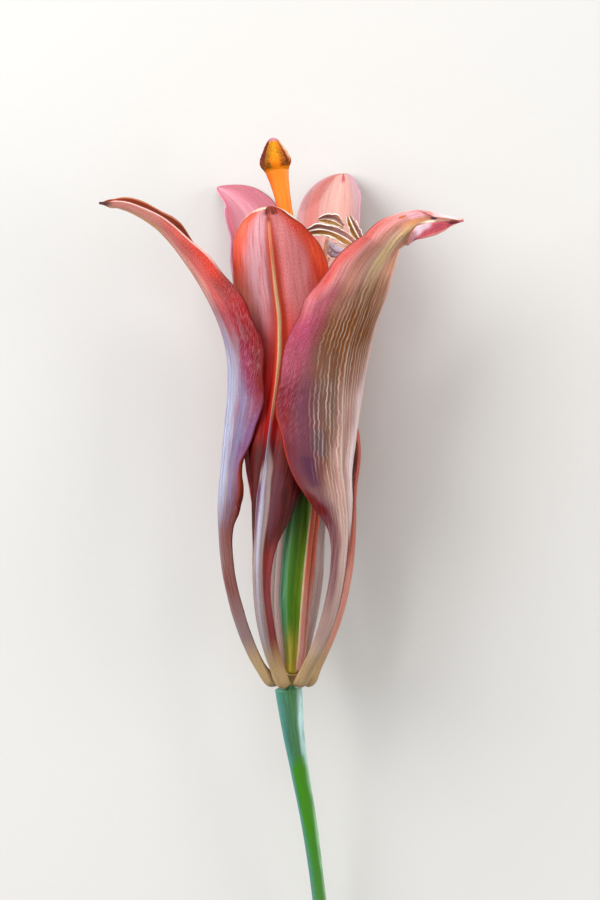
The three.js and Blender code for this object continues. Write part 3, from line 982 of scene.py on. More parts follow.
@dataclass
class Stalk:
    """A round piece swept along a path of rings, such as a stem, a style or an anther."""

    node: str
    slot: str
    skin: Skin
    path: Sequence[Row]
    sides: int = 48
    rings: int = 120
    seed: int = 1
    blunt: tuple[float, float] = (0.0, 0.0)  # lengths over which the two ends round off
    even_shares: bool = False

    def shape(self, angle: Array, share: Array, lie: Lie) -> Array:
        """The share of the radius at an angle round the piece from straight up: 1 all round, if plain."""
        return np.ones(np.broadcast(angle, share).shape)

    def vein(self, angle: Array, share: Array, lie: Lie) -> Array:
        """Where the piece has furrows, seams or rims that its finish picks out."""
        return np.zeros_like(lie.along)

    def axis(self) -> tuple[Array, Array, Array]:
        """Reads the path.

        Returns:
            The share of the length of each ring, the rings themselves, and their directions.
        """
        even = np.linspace(0.0, 1.0, self.rings + 1)
        share = even if self.even_shares else 0.5 - 0.5 * np.cos(np.pi * even)
        rows = smooth_rows(np.array(self.path, float), share)
        lengths = arc_lengths(rows)
        return lengths / lengths[-1], rows, unit(np.gradient(rows[:, :3], axis=0))

    def build(self) -> bpy.types.Object:
        """Builds the piece's mesh and dresses it.

        Returns:
            The piece's object.
        """
        share, rows, tangent = self.axis()
        length = float(arc_lengths(rows)[-1])
        up = upward(tangent)
        across = np.cross(tangent, up)
        angle = np.linspace(-np.pi, np.pi, self.sides, endpoint=False)[None, :]
        along = share[:, None] * length
        radius = rows[:, RADIUS, None] * np.ones_like(angle)
        lie = Lie(along + 0.0 * angle, angle / np.pi + 0.0 * along, radius * angle, radius, self.seed)
        radius = radius * self.shape(angle, share[:, None], lie)
        for near, reach in ((along, self.blunt[0]), (length - along, self.blunt[1])):
            if reach:
                radius = radius * rounded(np.clip(near / reach, 0.01, 1.0))
        points = rows[:, None, :3] + up[:, None] * (radius * np.cos(angle))[..., None]
        points = points + across[:, None] * (radius * np.sin(angle))[..., None]
        lift_to_floor(points)
        masks = {key: pair[0] for key, pair in self.skin.masks(lie).items()}
        masks["vein"] = self.vein(angle, share[:, None], lie)
        piece = self.closed(points, rows, masks, lie)
        return finish_piece(piece, self.skin, self.node)

    def closed(self, points: Array, rows: Array, masks: dict[str, Array], lie: Lie) -> bpy.types.Object:
        """Closes the rings into one body.

        Args:
            points: Points of every ring.
            rows: The path at every ring. Not used.
            masks: What the surface carries.
            lie: Where the points lie.

        Returns:
            The piece's object.
        """
        rings, sides = points.shape[:2]
        ids = np.arange(rings * sides).reshape(rings, sides)
        beside = np.roll(ids, -1, axis=1)
        walls = np.stack([ids[:-1], beside[:-1], beside[1:], ids[1:]], axis=-1).reshape(-1, 4)
        start, end = rings * sides, rings * sides + 1
        faces = [tuple(quad) for quad in walls.tolist()]
        faces += [(start, int(b), int(a)) for a, b in zip(ids[0], beside[0])]
        faces += [(end, int(a), int(b)) for a, b in zip(ids[-1], beside[-1])]

        def capped(values: Array) -> Array:
            """Adds the middle of both ends to values of the rings.

            Args:
                values: Values at every point of every ring.

            Returns:
                The same in vertex order.
            """
            flat = values.reshape(rings * sides, -1)
            ends = [values[0].reshape(sides, -1).mean(0), values[-1].reshape(sides, -1).mean(0)]
            return np.concatenate([flat, ends])

        values = {key: capped(np.broadcast_to(mask, lie.side.shape)).ravel() for key, mask in masks.items()}
        places = capped(np.stack([lie.across, lie.along, np.full_like(lie.along, self.seed)], axis=-1))
        vectors = {"lie": places, "strand": places}
        return build_object(self.node + "_skin", capped(points), faces, values, vectors)


@dataclass
class Stem(Stalk):
    """The leafless cut stem with the small knob that the tepals leave from."""

    knob: Sequence[Row] = ((-0.1, 0.1, 0.0, 1.25), (0.0, 1.0, 0.0, 1.25), (0.05, 1.9, 0.0, 1.75))
    knob_rings: int = 14
    rib_height: float = 0.018
    unevenness: float = 0.02

    def axis(self) -> tuple[Array, Array, Array]:
        """Reads the stem's path and then the knob's, which leaves it with a step.

        Returns:
            The share of the length of each ring, the rings themselves, and their directions.
        """
        share, rows, tangent = super().axis()
        knob = smooth_rows(np.array(self.knob, float), np.linspace(0.0, 1.0, self.knob_rings))
        rows = np.concatenate([rows, knob])
        lengths = arc_lengths(rows)
        up_the_stem = np.repeat([[0.0, 1.0, 0.0]], len(knob), axis=0)
        return lengths / lengths[-1], rows, np.concatenate([tangent, up_the_stem])

    def shape(self, angle: Array, share: Array, lie: Lie) -> Array:
        """Works out faint ribs and unevenness, stronger towards the flower.

        Args:
            angle: The angle round the stem, from straight up.
            share: The share of its length.
            lie: Where the points lie.

        Returns:
            Shares of the radius.
        """
        uneven = self.unevenness * grain(3.0 * np.cos(angle), lie.along / 6.0, self.seed)
        ribs = self.rib_height * ease(0.3, 0.95, share) * np.cos(6.0 * angle)
        return 1.0 + ribs + uneven * ease(0.0, 0.1, share)


@dataclass
class Ovary(Stalk):
    """The green ovary with six ribs."""

    rib_height: float = 0.05
    furrow_share: float = 0.55  # depth of a furrow, as a share of a rib's height
    furrow_width: float = 0.11  # in radians

    def shape(self, angle: Array, share: Array, lie: Lie) -> Array:
        """Lays six soft ribs round the ovary, with a narrow furrow between each two.

        Args:
            angle: The angle round the ovary, from straight up.
            share: The share of its length. Not used.
            lie: Where the points lie. Not used.

        Returns:
            Shares of the radius.
        """
        middles = [np.pi / 6 + k * np.pi / 3 for k in range(6)]
        furrow = sum(bump(np.angle(np.exp(1j * (angle - middle))), self.furrow_width) for middle in middles)
        return 1.0 + self.rib_height * np.cos(6.0 * angle) - self.furrow_share * self.rib_height * furrow

    def vein(self, angle: Array, share: Array, lie: Lie) -> Array:
        """Where the furrows are."""
        return np.clip(-np.cos(6.0 * angle), 0.0, 1.0) ** 2 + 0.0 * share


@dataclass
class Style(Stalk):
    """The long style, which turns three-sided towards the stigma."""

    flatness: float = 0.14  # depth of the three flat sides, as a share of the radius
    line_height: float = 0.006

    def shape(self, angle: Array, share: Array, lie: Lie) -> Array:
        """Round below, three-sided above, with faint lengthwise lines."""
        lines = self.line_height * grain(lie.side * 14.0, lie.along / 14.0, self.seed)
        return 1.0 - self.flatness * ease(0.5, 1.0, share) * np.cos(3.0 * angle) + lines


@dataclass
class Stigma(Stalk):
    """The three-lobed stigma, with a rough raised edge where two lobes meet."""

    flatness: float = 0.16
    edge_height: float = 0.07
    edge_width: float = 0.13  # in radians, like the seam's place and width
    seam_depth: float = 0.09
    seam_place: float = 0.2
    seam_width: float = 0.09
    roughness: float = 0.014
    papilla: float = 0.17  # size of one bump of the rough skin

    def corner(self, angle: Array) -> Array:
        """Angle from the nearest corner, positive towards the face that looks up."""
        nearest = np.where(np.abs(angle) > 2.0 * np.pi / 3.0, np.pi, np.pi / 3.0)
        return nearest - np.abs(angle)

    def seam(self, angle: Array, share: Array) -> Array:
        """How near a point is to the dark seam beside a raised edge."""
        beside = self.corner(angle) - self.seam_place
        return bump(beside, self.seam_width) * ease(0.08, 0.25, share)

    def shape(self, angle: Array, share: Array, lie: Lie) -> Array:
        """Works out three flat faces, raised edges, seams and the bumps of the rough skin.

        Args:
            angle: The angle round the stigma, from straight up.
            share: The share of its length.
            lie: Where the points lie.

        Returns:
            Shares of the radius.
        """
        rough = Bumps(1.0, self.papilla, self.papilla).at(lie, self.seed) * ease(0.1, 0.3, share)
        edge = self.edge_height * bump(self.corner(angle), self.edge_width) * (1.0 + 0.5 * rough)
        faces = 1.0 - self.flatness * np.cos(3.0 * angle)
        return faces + edge - self.seam_depth * self.seam(angle, share) + self.roughness * rough

    def vein(self, angle: Array, share: Array, lie: Lie) -> Array:
        """Where the dark seams are."""
        return self.seam(angle, share)


@dataclass
class Filament(Stalk):
    """A thin filament that narrows under its anther."""

    flatness: float = 0.12
    narrowing: float = 0.35

    def shape(self, angle: Array, share: Array, lie: Lie) -> Array:
        """Slightly flattened and narrower at the top."""
        flat = 1.0 - self.flatness * np.cos(2.0 * angle)
        return flat * (1.0 - self.narrowing * ease(0.85, 1.0, share))


@dataclass
class Anther(Stalk):
    """A dried anther: two split pouches side by side, like open boats with thin pale rims."""

    ridge: float = 0.3  # height of the wall between the pouches, as a share of the radius
    tilt: float = 0.0  # degrees that the open side is turned
    twist: float = 40.0
    outline: Sequence[Row] = (
        (0.97, 0.5), (1.04, 0.2), (0.98, -0.2), (0.72, -0.62), (0.36, -0.8), (0.0, -0.66),
        (-0.36, -0.8), (-0.72, -0.62), (-0.98, -0.2), (-1.04, 0.2), (-0.97, 0.5), (-0.86, 0.42),
        (-0.78, 0.05), (-0.62, -0.28), (-0.38, -0.36), (-0.18, -0.1), (-0.07, 1.0), (0.07, 1.0),
        (0.18, -0.1), (0.38, -0.36), (0.62, -0.28), (0.78, 0.05), (0.86, 0.42),
    )
    unevenness: Row = (0.05, 0.14, 0.16)  # finely, broadly and along the rims, as shares of the radius
    rims: Row = (0.0, 10.0, 16.5)  # places on the outline, by the number of the point
    hollows: Row = (13.5, 19.5)

    def section(self) -> tuple[Array, Array]:
        """The outline of the cross-section.

        Returns:
            Its points, and the place of each on the list that it is drawn from.
        """
        corners = np.array(self.outline, float)
        corners[corners[:, 1] > 0.9, 1] = self.ridge
        count = len(corners)
        place_on = np.linspace(0.0, count, self.sides, endpoint=False)
        looped = np.concatenate([corners[-2:], corners, corners[:3]])
        return smooth_rows(looped, (place_on + 2.0) / (len(looped) - 1)), place_on

    def build(self) -> bpy.types.Object:
        """Builds the anther's mesh and dresses it.

        Returns:
            The anther's object.
        """
        share, rows, tangent = self.axis()
        section, place_on = self.section()
        up = upward(tangent)
        across = np.cross(tangent, up)
        turn = np.radians(self.tilt + self.twist * (share - 0.5) * (1 if self.seed % 2 else -1))[:, None]
        flare = 1.0 + 0.1 * np.sin(share * 8.0 + self.seed)[:, None]
        u, v = section[:, 0] * flare, section[:, 1] / flare
        rough = grain(place_on * 1.7, share[:, None] * 16.0, self.seed)
        uneven = grain(place_on * 0.3, share[:, None] * 5.0, self.seed + 3)
        wavy = grain(place_on * 0.1, share[:, None] * 11.0, self.seed + 5)
        wavy = self.near(place_on, self.rims, 2.0) * wavy
        fine, broad, rim = self.unevenness
        radius = rows[:, RADIUS, None] * (1.0 + fine * rough + broad * uneven + rim * wavy)
        u, v = u * np.cos(turn) - v * np.sin(turn), u * np.sin(turn) + v * np.cos(turn)
        points = rows[:, None, :3] + across[:, None] * (radius * u)[..., None]
        points = points + up[:, None] * (radius * v)[..., None]
        length = float(arc_lengths(rows)[-1])
        along = share[:, None] * length + 0.0 * radius
        side = 0.0 * along + place_on / len(self.outline)
        lie = Lie(along, side, radius * place_on * 0.25, radius, self.seed)
        masks = {key: pair[0] for key, pair in self.skin.masks(lie).items()}
        masks["vein"] = np.broadcast_to(self.near(place_on, self.rims, 1.1), along.shape)
        masks["hollow"] = np.broadcast_to(self.near(place_on, self.hollows, 1.8), along.shape)
        return finish_piece(self.closed(points, rows, masks, lie), self.skin, self.node)

    def near(self, place_on: Array, centres: Sequence[float], reach: float) -> Array:
        """Works out how near places on the outline are to any of the given ones.

        Args:
            place_on: The places on the outline.
            centres: The given ones.
            reach: How far away a place still counts.

        Returns:
            Values from 0 to 1.
        """
        count = len(self.outline)
        away = [np.abs((place_on - centre + count / 2) % count - count / 2) for centre in centres]
        return 1.0 - ease(0.5 * reach, reach, np.min(away, axis=0))


class Side(Enum):
    """Where a soft lamp of the studio hangs."""

    LEFT = auto()
    RIGHT = auto()
    HEAD = auto()
    ABOVE = auto()


@dataclass(frozen=True)
class Lamp:
    """A soft square lamp: where it hangs, its size in metres, its power and its colour."""

    place: tuple[float, float, float]
    size: float
    power: float
    colour: str

    def hang(self, name: str, target: Array) -> None:
        """Hangs the lamp and turns it to the flower.

        Args:
            name: The lamp's name.
            target: What it shines on, in metres.
        """
        data = bpy.data.lights.new(name, "AREA")
        data.size, data.energy = self.size, self.power
        data.color = linear(self.colour)[:3]
        lamp = bpy.data.objects.new(name, data)
        bpy.context.scene.collection.objects.link(lamp)
        lamp.location = self.place
        direction = Vector(np.asarray(target) - np.asarray(self.place))
        lamp.rotation_euler = direction.to_track_quat("-Z", "Y").to_euler()


@dataclass
class Studio:
    """The plain floor, the soft lamps and the camera that looks straight down on the flower."""

    floor_size: float = 3.0
    floor_colour: str = "#CFCECB"
    floor_tooth_colour: str = "#BEBCB8"
    floor_tooth: float = 900.0  # cells for each metre
    camera_height: float = 700.0  # millimetres above the flower's axis
    camera_axis: tuple[float, float] = (1.4, 33.3)
    lens: float = 200.0
    film_width: float = 36.0
    aim: tuple[float, float, float] = (0.0, -0.02, 0.012)  # what the lamps shine on, in metres
    sky: str = "#EEF2F6"
    sky_strength: float = 0.22
    lamps: dict[Side, Lamp] = field(
        default_factory=lambda: {
            Side.LEFT: Lamp((-0.45, 0.22, 0.40), 0.45, 5.2, "#FFFFFF"),
            Side.RIGHT: Lamp((0.55, -0.02, 0.30), 0.45, 2.0, "#FFF8F4"),
            Side.HEAD: Lamp((0.05, 0.60, 0.45), 0.5, 2.6, "#FFFFFF"),
            Side.ABOVE: Lamp((-0.15, 0.05, 0.85), 0.7, 1.8, "#FFFFFF"),
        }
    )

    def build(self) -> None:
        """Builds the floor, lamps, sky and camera."""
        self.lay_floor()
        for kind, lamp in self.lamps.items():
            lamp.hang(f"lamp_{kind.name.lower()}", np.array(self.aim))
        world = bpy.data.worlds.new("sky")
        world.use_nodes = True
        background = world.node_tree.nodes["Background"]
        background.inputs[0].default_value = linear(self.sky)
        background.inputs[1].default_value = self.sky_strength
        bpy.context.scene.world = world
        bpy.context.scene.view_settings.view_transform = "Standard"
        self.set_camera()

    def lay_floor(self) -> None:
        """Lays the floor that the flower rests on."""
        half = self.floor_size / 2.0
        mesh = bpy.data.meshes.new("floor")
        corners = [(-half, -half, 0.0), (half, -half, 0.0), (half, half, 0.0), (-half, half, 0.0)]
        mesh.from_pydata(corners, [], [(0, 1, 2, 3)])
        nodes = Nodes("floor paper")
        coordinates = nodes.add("ShaderNodeTexCoord").outputs["Object"]
        tooth = nodes.noise(coordinates, (self.floor_tooth,) * 3, 3.0)
        amount = nodes.remap(tooth, *NOISE_RANGE, 0.0, 0.05)
        colour = nodes.mix(amount, linear(self.floor_colour), linear(self.floor_tooth_colour))
        paper = Skin("floor paper", self.floor_colour, glow=0.0, relief=0.05, shine=0.2)
        mesh.materials.append(nodes.surface(colour, 0.85, tooth, paper))
        floor = bpy.data.objects.new("floor", mesh)
        bpy.context.scene.collection.objects.link(floor)

    def set_camera(self) -> None:
        """Sets the camera straight above, with the stem towards the bottom of the picture."""
        data = bpy.data.cameras.new("camera")
        data.lens, data.sensor_width = self.lens, self.film_width
        data.clip_start, data.clip_end = 0.01, 20.0
        camera = bpy.data.objects.new("camera", data)
        bpy.context.scene.collection.objects.link(camera)
        camera.location = place(np.array([*self.camera_axis, self.camera_height])).tolist()
        bpy.context.scene.camera = camera


# Short names for the tables of washes below.
PLAIN, STREAKED, FLECKED, VEINED, SATIN, HOLLOW, LINED = Grain
OUTER, INNER, BOTH = Face

# Besides each piece's own colours, the washes below hold painted light and shade: parts that lie in shade
# are painted darker, and parts that catch the light paler.
FOOT = Wash("#AE9268", ((0, 1), (3.5, 0.9), (9, 0)), grain=PLAIN, face=BOTH)

SEPAL_LEFT_SKIN = Skin("left sepal", "#820E18", (
    Wash("#847070", ((0, 1), (20, 1), (30, 0.9), (36, 0)), grain=PLAIN),
    # Painted sheen: pale bluish lilac over the left half of the claw, where it turns away from view.
    Wash("#8E88A8", ((8, -2, -0.3, 0.3), (14, -2, -0.25, 0.8), (24, -2, -0.05, 0.9), (30, -2, 0.05, 0.5)),
         0.25, gain=0.25),
    Wash("#6C342C", ((9, 0.25, 2, 0.2), (16, 0.12, 2, 0.75), (24, 0.15, 2, 0.9), (29, 0.4, 2, 1),
         (33, 0.62, 2, 0.7), (37, 0.75, 2, 0)), 0.16),
    # Painted sheen: pale bluish lilac down the left half, strongest where it turns down and away.
    Wash("#9698B0", ((26, -2, 0.3, 0.5), (31, -2, 0.4, 0.9), (44, -2, 0.4, 1), (50, -2, 0.34, 0.7),
         (57, -2, 0.28, 0.2)), 0.16, gain=0.3),
    Wash("#756B89", ((26, 0.36, 0.7, 0.4), (30, 0.42, 0.62, 0.9), (38, 0.42, 0.8, 1), (44, 0.44, 0.7, 0.9),
         (50, 0.4, 0.5, 0.2)), 0.14),
    Wash("#775178", ((30, 0.62, 2, 0.4), (34, 0.7, 2, 1), (39, 0.78, 2, 1), (43, 0.9, 2, 0.4)), 0.14),
    Wash("#7A1F40", ((41, 0.7, 1, 0.3), (44, 0.6, 0.84, 0.9), (49, 0.48, 0.75, 0.9), (54, 0.4, 0.6, 0.7),
         (58, 0.45, 0.6, 0)), 0.16),
    Wash("#681110", ((42, 0.9, 2, 0.5), (45, 0.84, 2, 1), (49, 0.72, 2, 0.9), (54, 0.72, 2, 0.6),
         (58, 0.85, 2, 0)), 0.14),
    Wash("#A31111", ((51, 0.6, 2, 0.4), (55, 0.62, 2, 0.9), (60, 0.8, 2, 0.8), (65, 0.92, 2, 0.2)), 0.16),
    Wash("#E82D10", ((58, 0.5, 2, 0.2), (62, 0.5, 2, 0.9), (67, 0.6, 2, 1), (74, 0.7, 2, 0.5)), 0.2),
    Wash("#D84C48", ((53, 0.3, 0.55, 0.3), (58, 0.24, 0.58, 0.9), (64, 0.28, 0.66, 0.9),
         (71, 0.3, 0.6, 0.6)), 0.16),
    Wash("#F0AC9C", ((54, -2, 0.22, 0.15), (59, -2, 0.28, 0.55), (66, -2, 0.28, 0.55), (73, -2, 0.4, 0.3)),
         0.12),
    Wash("#FAA090", ((69, 0.2), (73, 0.8), (80, 0.9)), 0.2),
    Wash("#D8A868", ((67, -2, 0.1, 0), (70, -2, 0.2, 0.6), (78, -2, 0.3, 0.6)), 0.1),
    Wash("#D8DCEC", ((20, -2, 0.3, 0.3), (30, -2, 0.4, 0.5), (48, -2, 0.3, 0.4), (56, -2, 0.3, 0.1)),
         grain=LINED),
    Wash("#D6A1B5", ((42, 0.35, 2, 0.1), (47, 0.3, 2, 0.2), (56, 0.25, 2, 0.2), (62, 0.2, 2, 0)),
         grain=SATIN),
    Wash("#FAC8BC", ((58, 0.2), (66, 0.3), (78, 0.25)), grain=FLECKED),
    Wash("#6E130E", ((42, 0.9, 2, 0.4), (44, 0.88, 2, 0.95), (47, 0.93, 2, 0.8), (54, 0.97, 2, 0.2)), 0.05),
    Wash("#700D0D", ((27, 0.86, 2, 0.8), (31, 0.88, 2, 0.95), (36, 0.965, 2, 0.6), (46, 0.975, 2, 0.2),
         (50, 0.965, 2, 0.9), (60, 0.965, 2, 0.8), (64, 0.965, 2, 0)), 0.02, PLAIN),
    # Painted highlight: a thin white-pink line where the rim of the right margin catches the light.
    Wash("#FBDAD0", ((60, 0.97, 2, 0.1), (64, 0.965, 2, 0.6), (75, 0.95, 2, 0.7)), 0.012, PLAIN, BOTH),
    Wash("#AAA7AD", ((26, 0.3), (48, -2, 0.5, 0.3), (58, 0.1)), grain=VEINED),
    FOOT,
    Wash("#7C2E14", ((0, 1), (90, 1)), face=INNER),
    Wash("#D88C68", ((56, -2, -0.965, 0.7), (60, -2, -0.96, 0.8), (76, -2, -0.93, 0.8)), 0.015, PLAIN,
         BOTH),
    Wash("#3A0D0D", ((77, 0), (78, 0.9)), grain=PLAIN, face=BOTH),
))

PETAL_FRONT_SKIN = Skin("front petal", "#B42C16", (
    Wash("#F6634B", ((50, -2, -0.45, 0.1), (58, -2, -0.42, 0.9), (66, -2, -0.45, 0.95)), 0.16),
    Wash("#C7949E", ((46, -0.52, -0.1, 0.1), (54, -0.52, -0.1, 0.7), (60, -0.56, -0.1, 0.9),
         (67, -0.5, -0.1, 0.9)), 0.15, gain=0.5),
    Wash("#B86B6F", ((48, 0.1, 0.6, 0.2), (56, 0.1, 0.66, 0.85), (62, 0.1, 0.62, 0.9),
         (67, 0.1, 0.5, 0.9)), 0.2, gain=0.2),
    Wash("#D74E2D", ((50, 0.66, 2, 0.4), (62, 0.72, 2, 0.9)), 0.12),
    # Painted light: paler coral over the left margin, lifting it out of the shade that the left sepal casts
    # there.
    Wash("#FF9A86", ((47, -2, -0.55, 0), (51, -2, -0.5, 0.7), (56, -2, -0.5, 0.85), (61, -2, -0.6, 0))),
    Wash("#E5A79B", ((48, -0.6, 0.7, 0.12), (56, -0.7, 0.7, 0.22), (67, -0.8, 0.8, 0.25)), grain=FLECKED),
    # Painted shade: a dusky line in the groove just left of the midrib.
    Wash("#924D4A", ((50, -0.15, -0.03, 0.4), (58, -0.15, -0.04, 0.85), (67, -0.12, -0.04, 0.5)), 0.03,
         PLAIN),
    # The petal's own deep red with painted shade: the lower blade darkens to deep red and then near black
    # where it lies between the sepals.
    Wash("#A70E0D", ((28, 1), (44, 0.95), (50, 0.6), (57, 0)), gain=0.15),
    Wash("#1F0D0D", ((17, 0.2), (23, 0.9), (34, 0.85), (39, 0.35), (45, 0)), gain=0.15),
    Wash("#6B2622", ((0, 0.95), (16, 0.9), (23, 0.2), (26, 0)), gain=0.2),
    Wash("#53242E", ((22, 0.3, 0.6, 0.1), (25, 0.22, 0.58, 0.8), (30, 0.2, 0.5, 0.9), (33, 0.2, 0.35, 0.6),
         (36, 0.2, 0.25, 0)), 0.06),
    Wash("#873F42", ((6, 0.45, 0.85, 0.3), (14, 0.45, 0.9, 0.85), (20, 0.6, 0.85, 0.6), (24, 0.6, 0.8, 0)),
         0.08),
    Wash("#938583", ((1, -2, 0.24, 0.6), (10, -2, 0.27, 0.9), (22, -0.6, 0.18, 0.95),
         (27, -0.4, 0.12, 0.9), (31, -0.2, 0.08, 0.8), (34, -0.1, 0.05, 0)), 0.04, gain=0.2),
    Wash("#5A2A56", ((20, -0.3, -0.1, 0), (24, -0.32, -0.06, 0.7), (29, -0.25, -0.04, 0.9),
         (32, -0.1, 0, 0)), 0.05),
    Wash("#ABA8BF", ((8, -0.04, 0.06, 0.3), (16, -0.03, 0.1, 0.6), (24, 0, 0.11, 0.9),
         (31, -0.02, 0.06, 0.95), (36, -0.03, 0.035, 0.5), (42, -0.03, 0.03, 0.1)), 0.02, PLAIN),
    Wash("#9B8584", ((10, 0.26, 0.36, 0.5), (24, 0.15, 0.26, 0.9), (32, 0.07, 0.16, 0.9), (38, 0, 0, 0)),
         0.03, PLAIN),
    Wash("#B93B23", ((42, -0.1, 0.11, 0.3), (50, -0.09, 0.11, 0.9), (62, -0.075, 0.09, 0.9),
         (67, -0.07, 0.09, 0.6)), 0.02, PLAIN),
    Wash("#C2A27B", ((42, -0.032, 0.036, 0.6), (50, -0.036, 0.04, 1), (60, -0.032, 0.036, 1),
         (67, -0.03, 0.03, 1)), 0.012, PLAIN),
    Wash("#BC6145", ((58, -0.03, 0.03, 0), (63, -0.03, 0.03, 0.9), (68, -0.03, 0.03, 0.9)), 0.012, PLAIN),
    FOOT,
    Wash("#A54521", ((61, -2, -0.975, 0.7), (64.5, -2, -0.95, 0.9), (66.5, -2, -0.93, 0.9),
         (68.2, -2, -0.8, 0.8)), 0.03, PLAIN, BOTH, reach=2.0),
    Wash("#7C2E10", ((56, 0.985, 2, 0.6), (63, 0.97, 2, 0.8), (66, 0.94, 2, 0.9), (67.6, 0.7, 2, 0.9)),
         0.02, PLAIN, BOTH),
    Wash("#6A2311", ((67.6, -0.1, 0.3, 0), (68.1, -0.14, 0.5, 0.85), (69, -0.2, 0.8, 0.9)), 0.12,
         face=BOTH, gain=0.7),
    Wash("#74342D", ((66.7, -0.05, 0.05, 0), (67.3, -0.06, 0.05, 0.9), (68.2, -0.06, 0.04, 0.6)), 0.03,
         PLAIN, reach=1.0),
    Wash("#D3BCA3", ((64, -2, -0.99, 0.7), (67.4, -2, -0.96, 0.9), (68.3, -2, -0.9, 0.9),
         (68.8, -0.85, -0.15, 0.95)), 0.02, PLAIN, BOTH, reach=0.5),
    Wash("#E9DED5", ((60, 1, 2, 0.4), (66, 0.99, 2, 0.9), (67.8, 0.85, 2, 0.8)), 0.012, PLAIN, BOTH),
    Wash("#9E3A27", ((0, 1), (90, 1)), face=INNER),
))

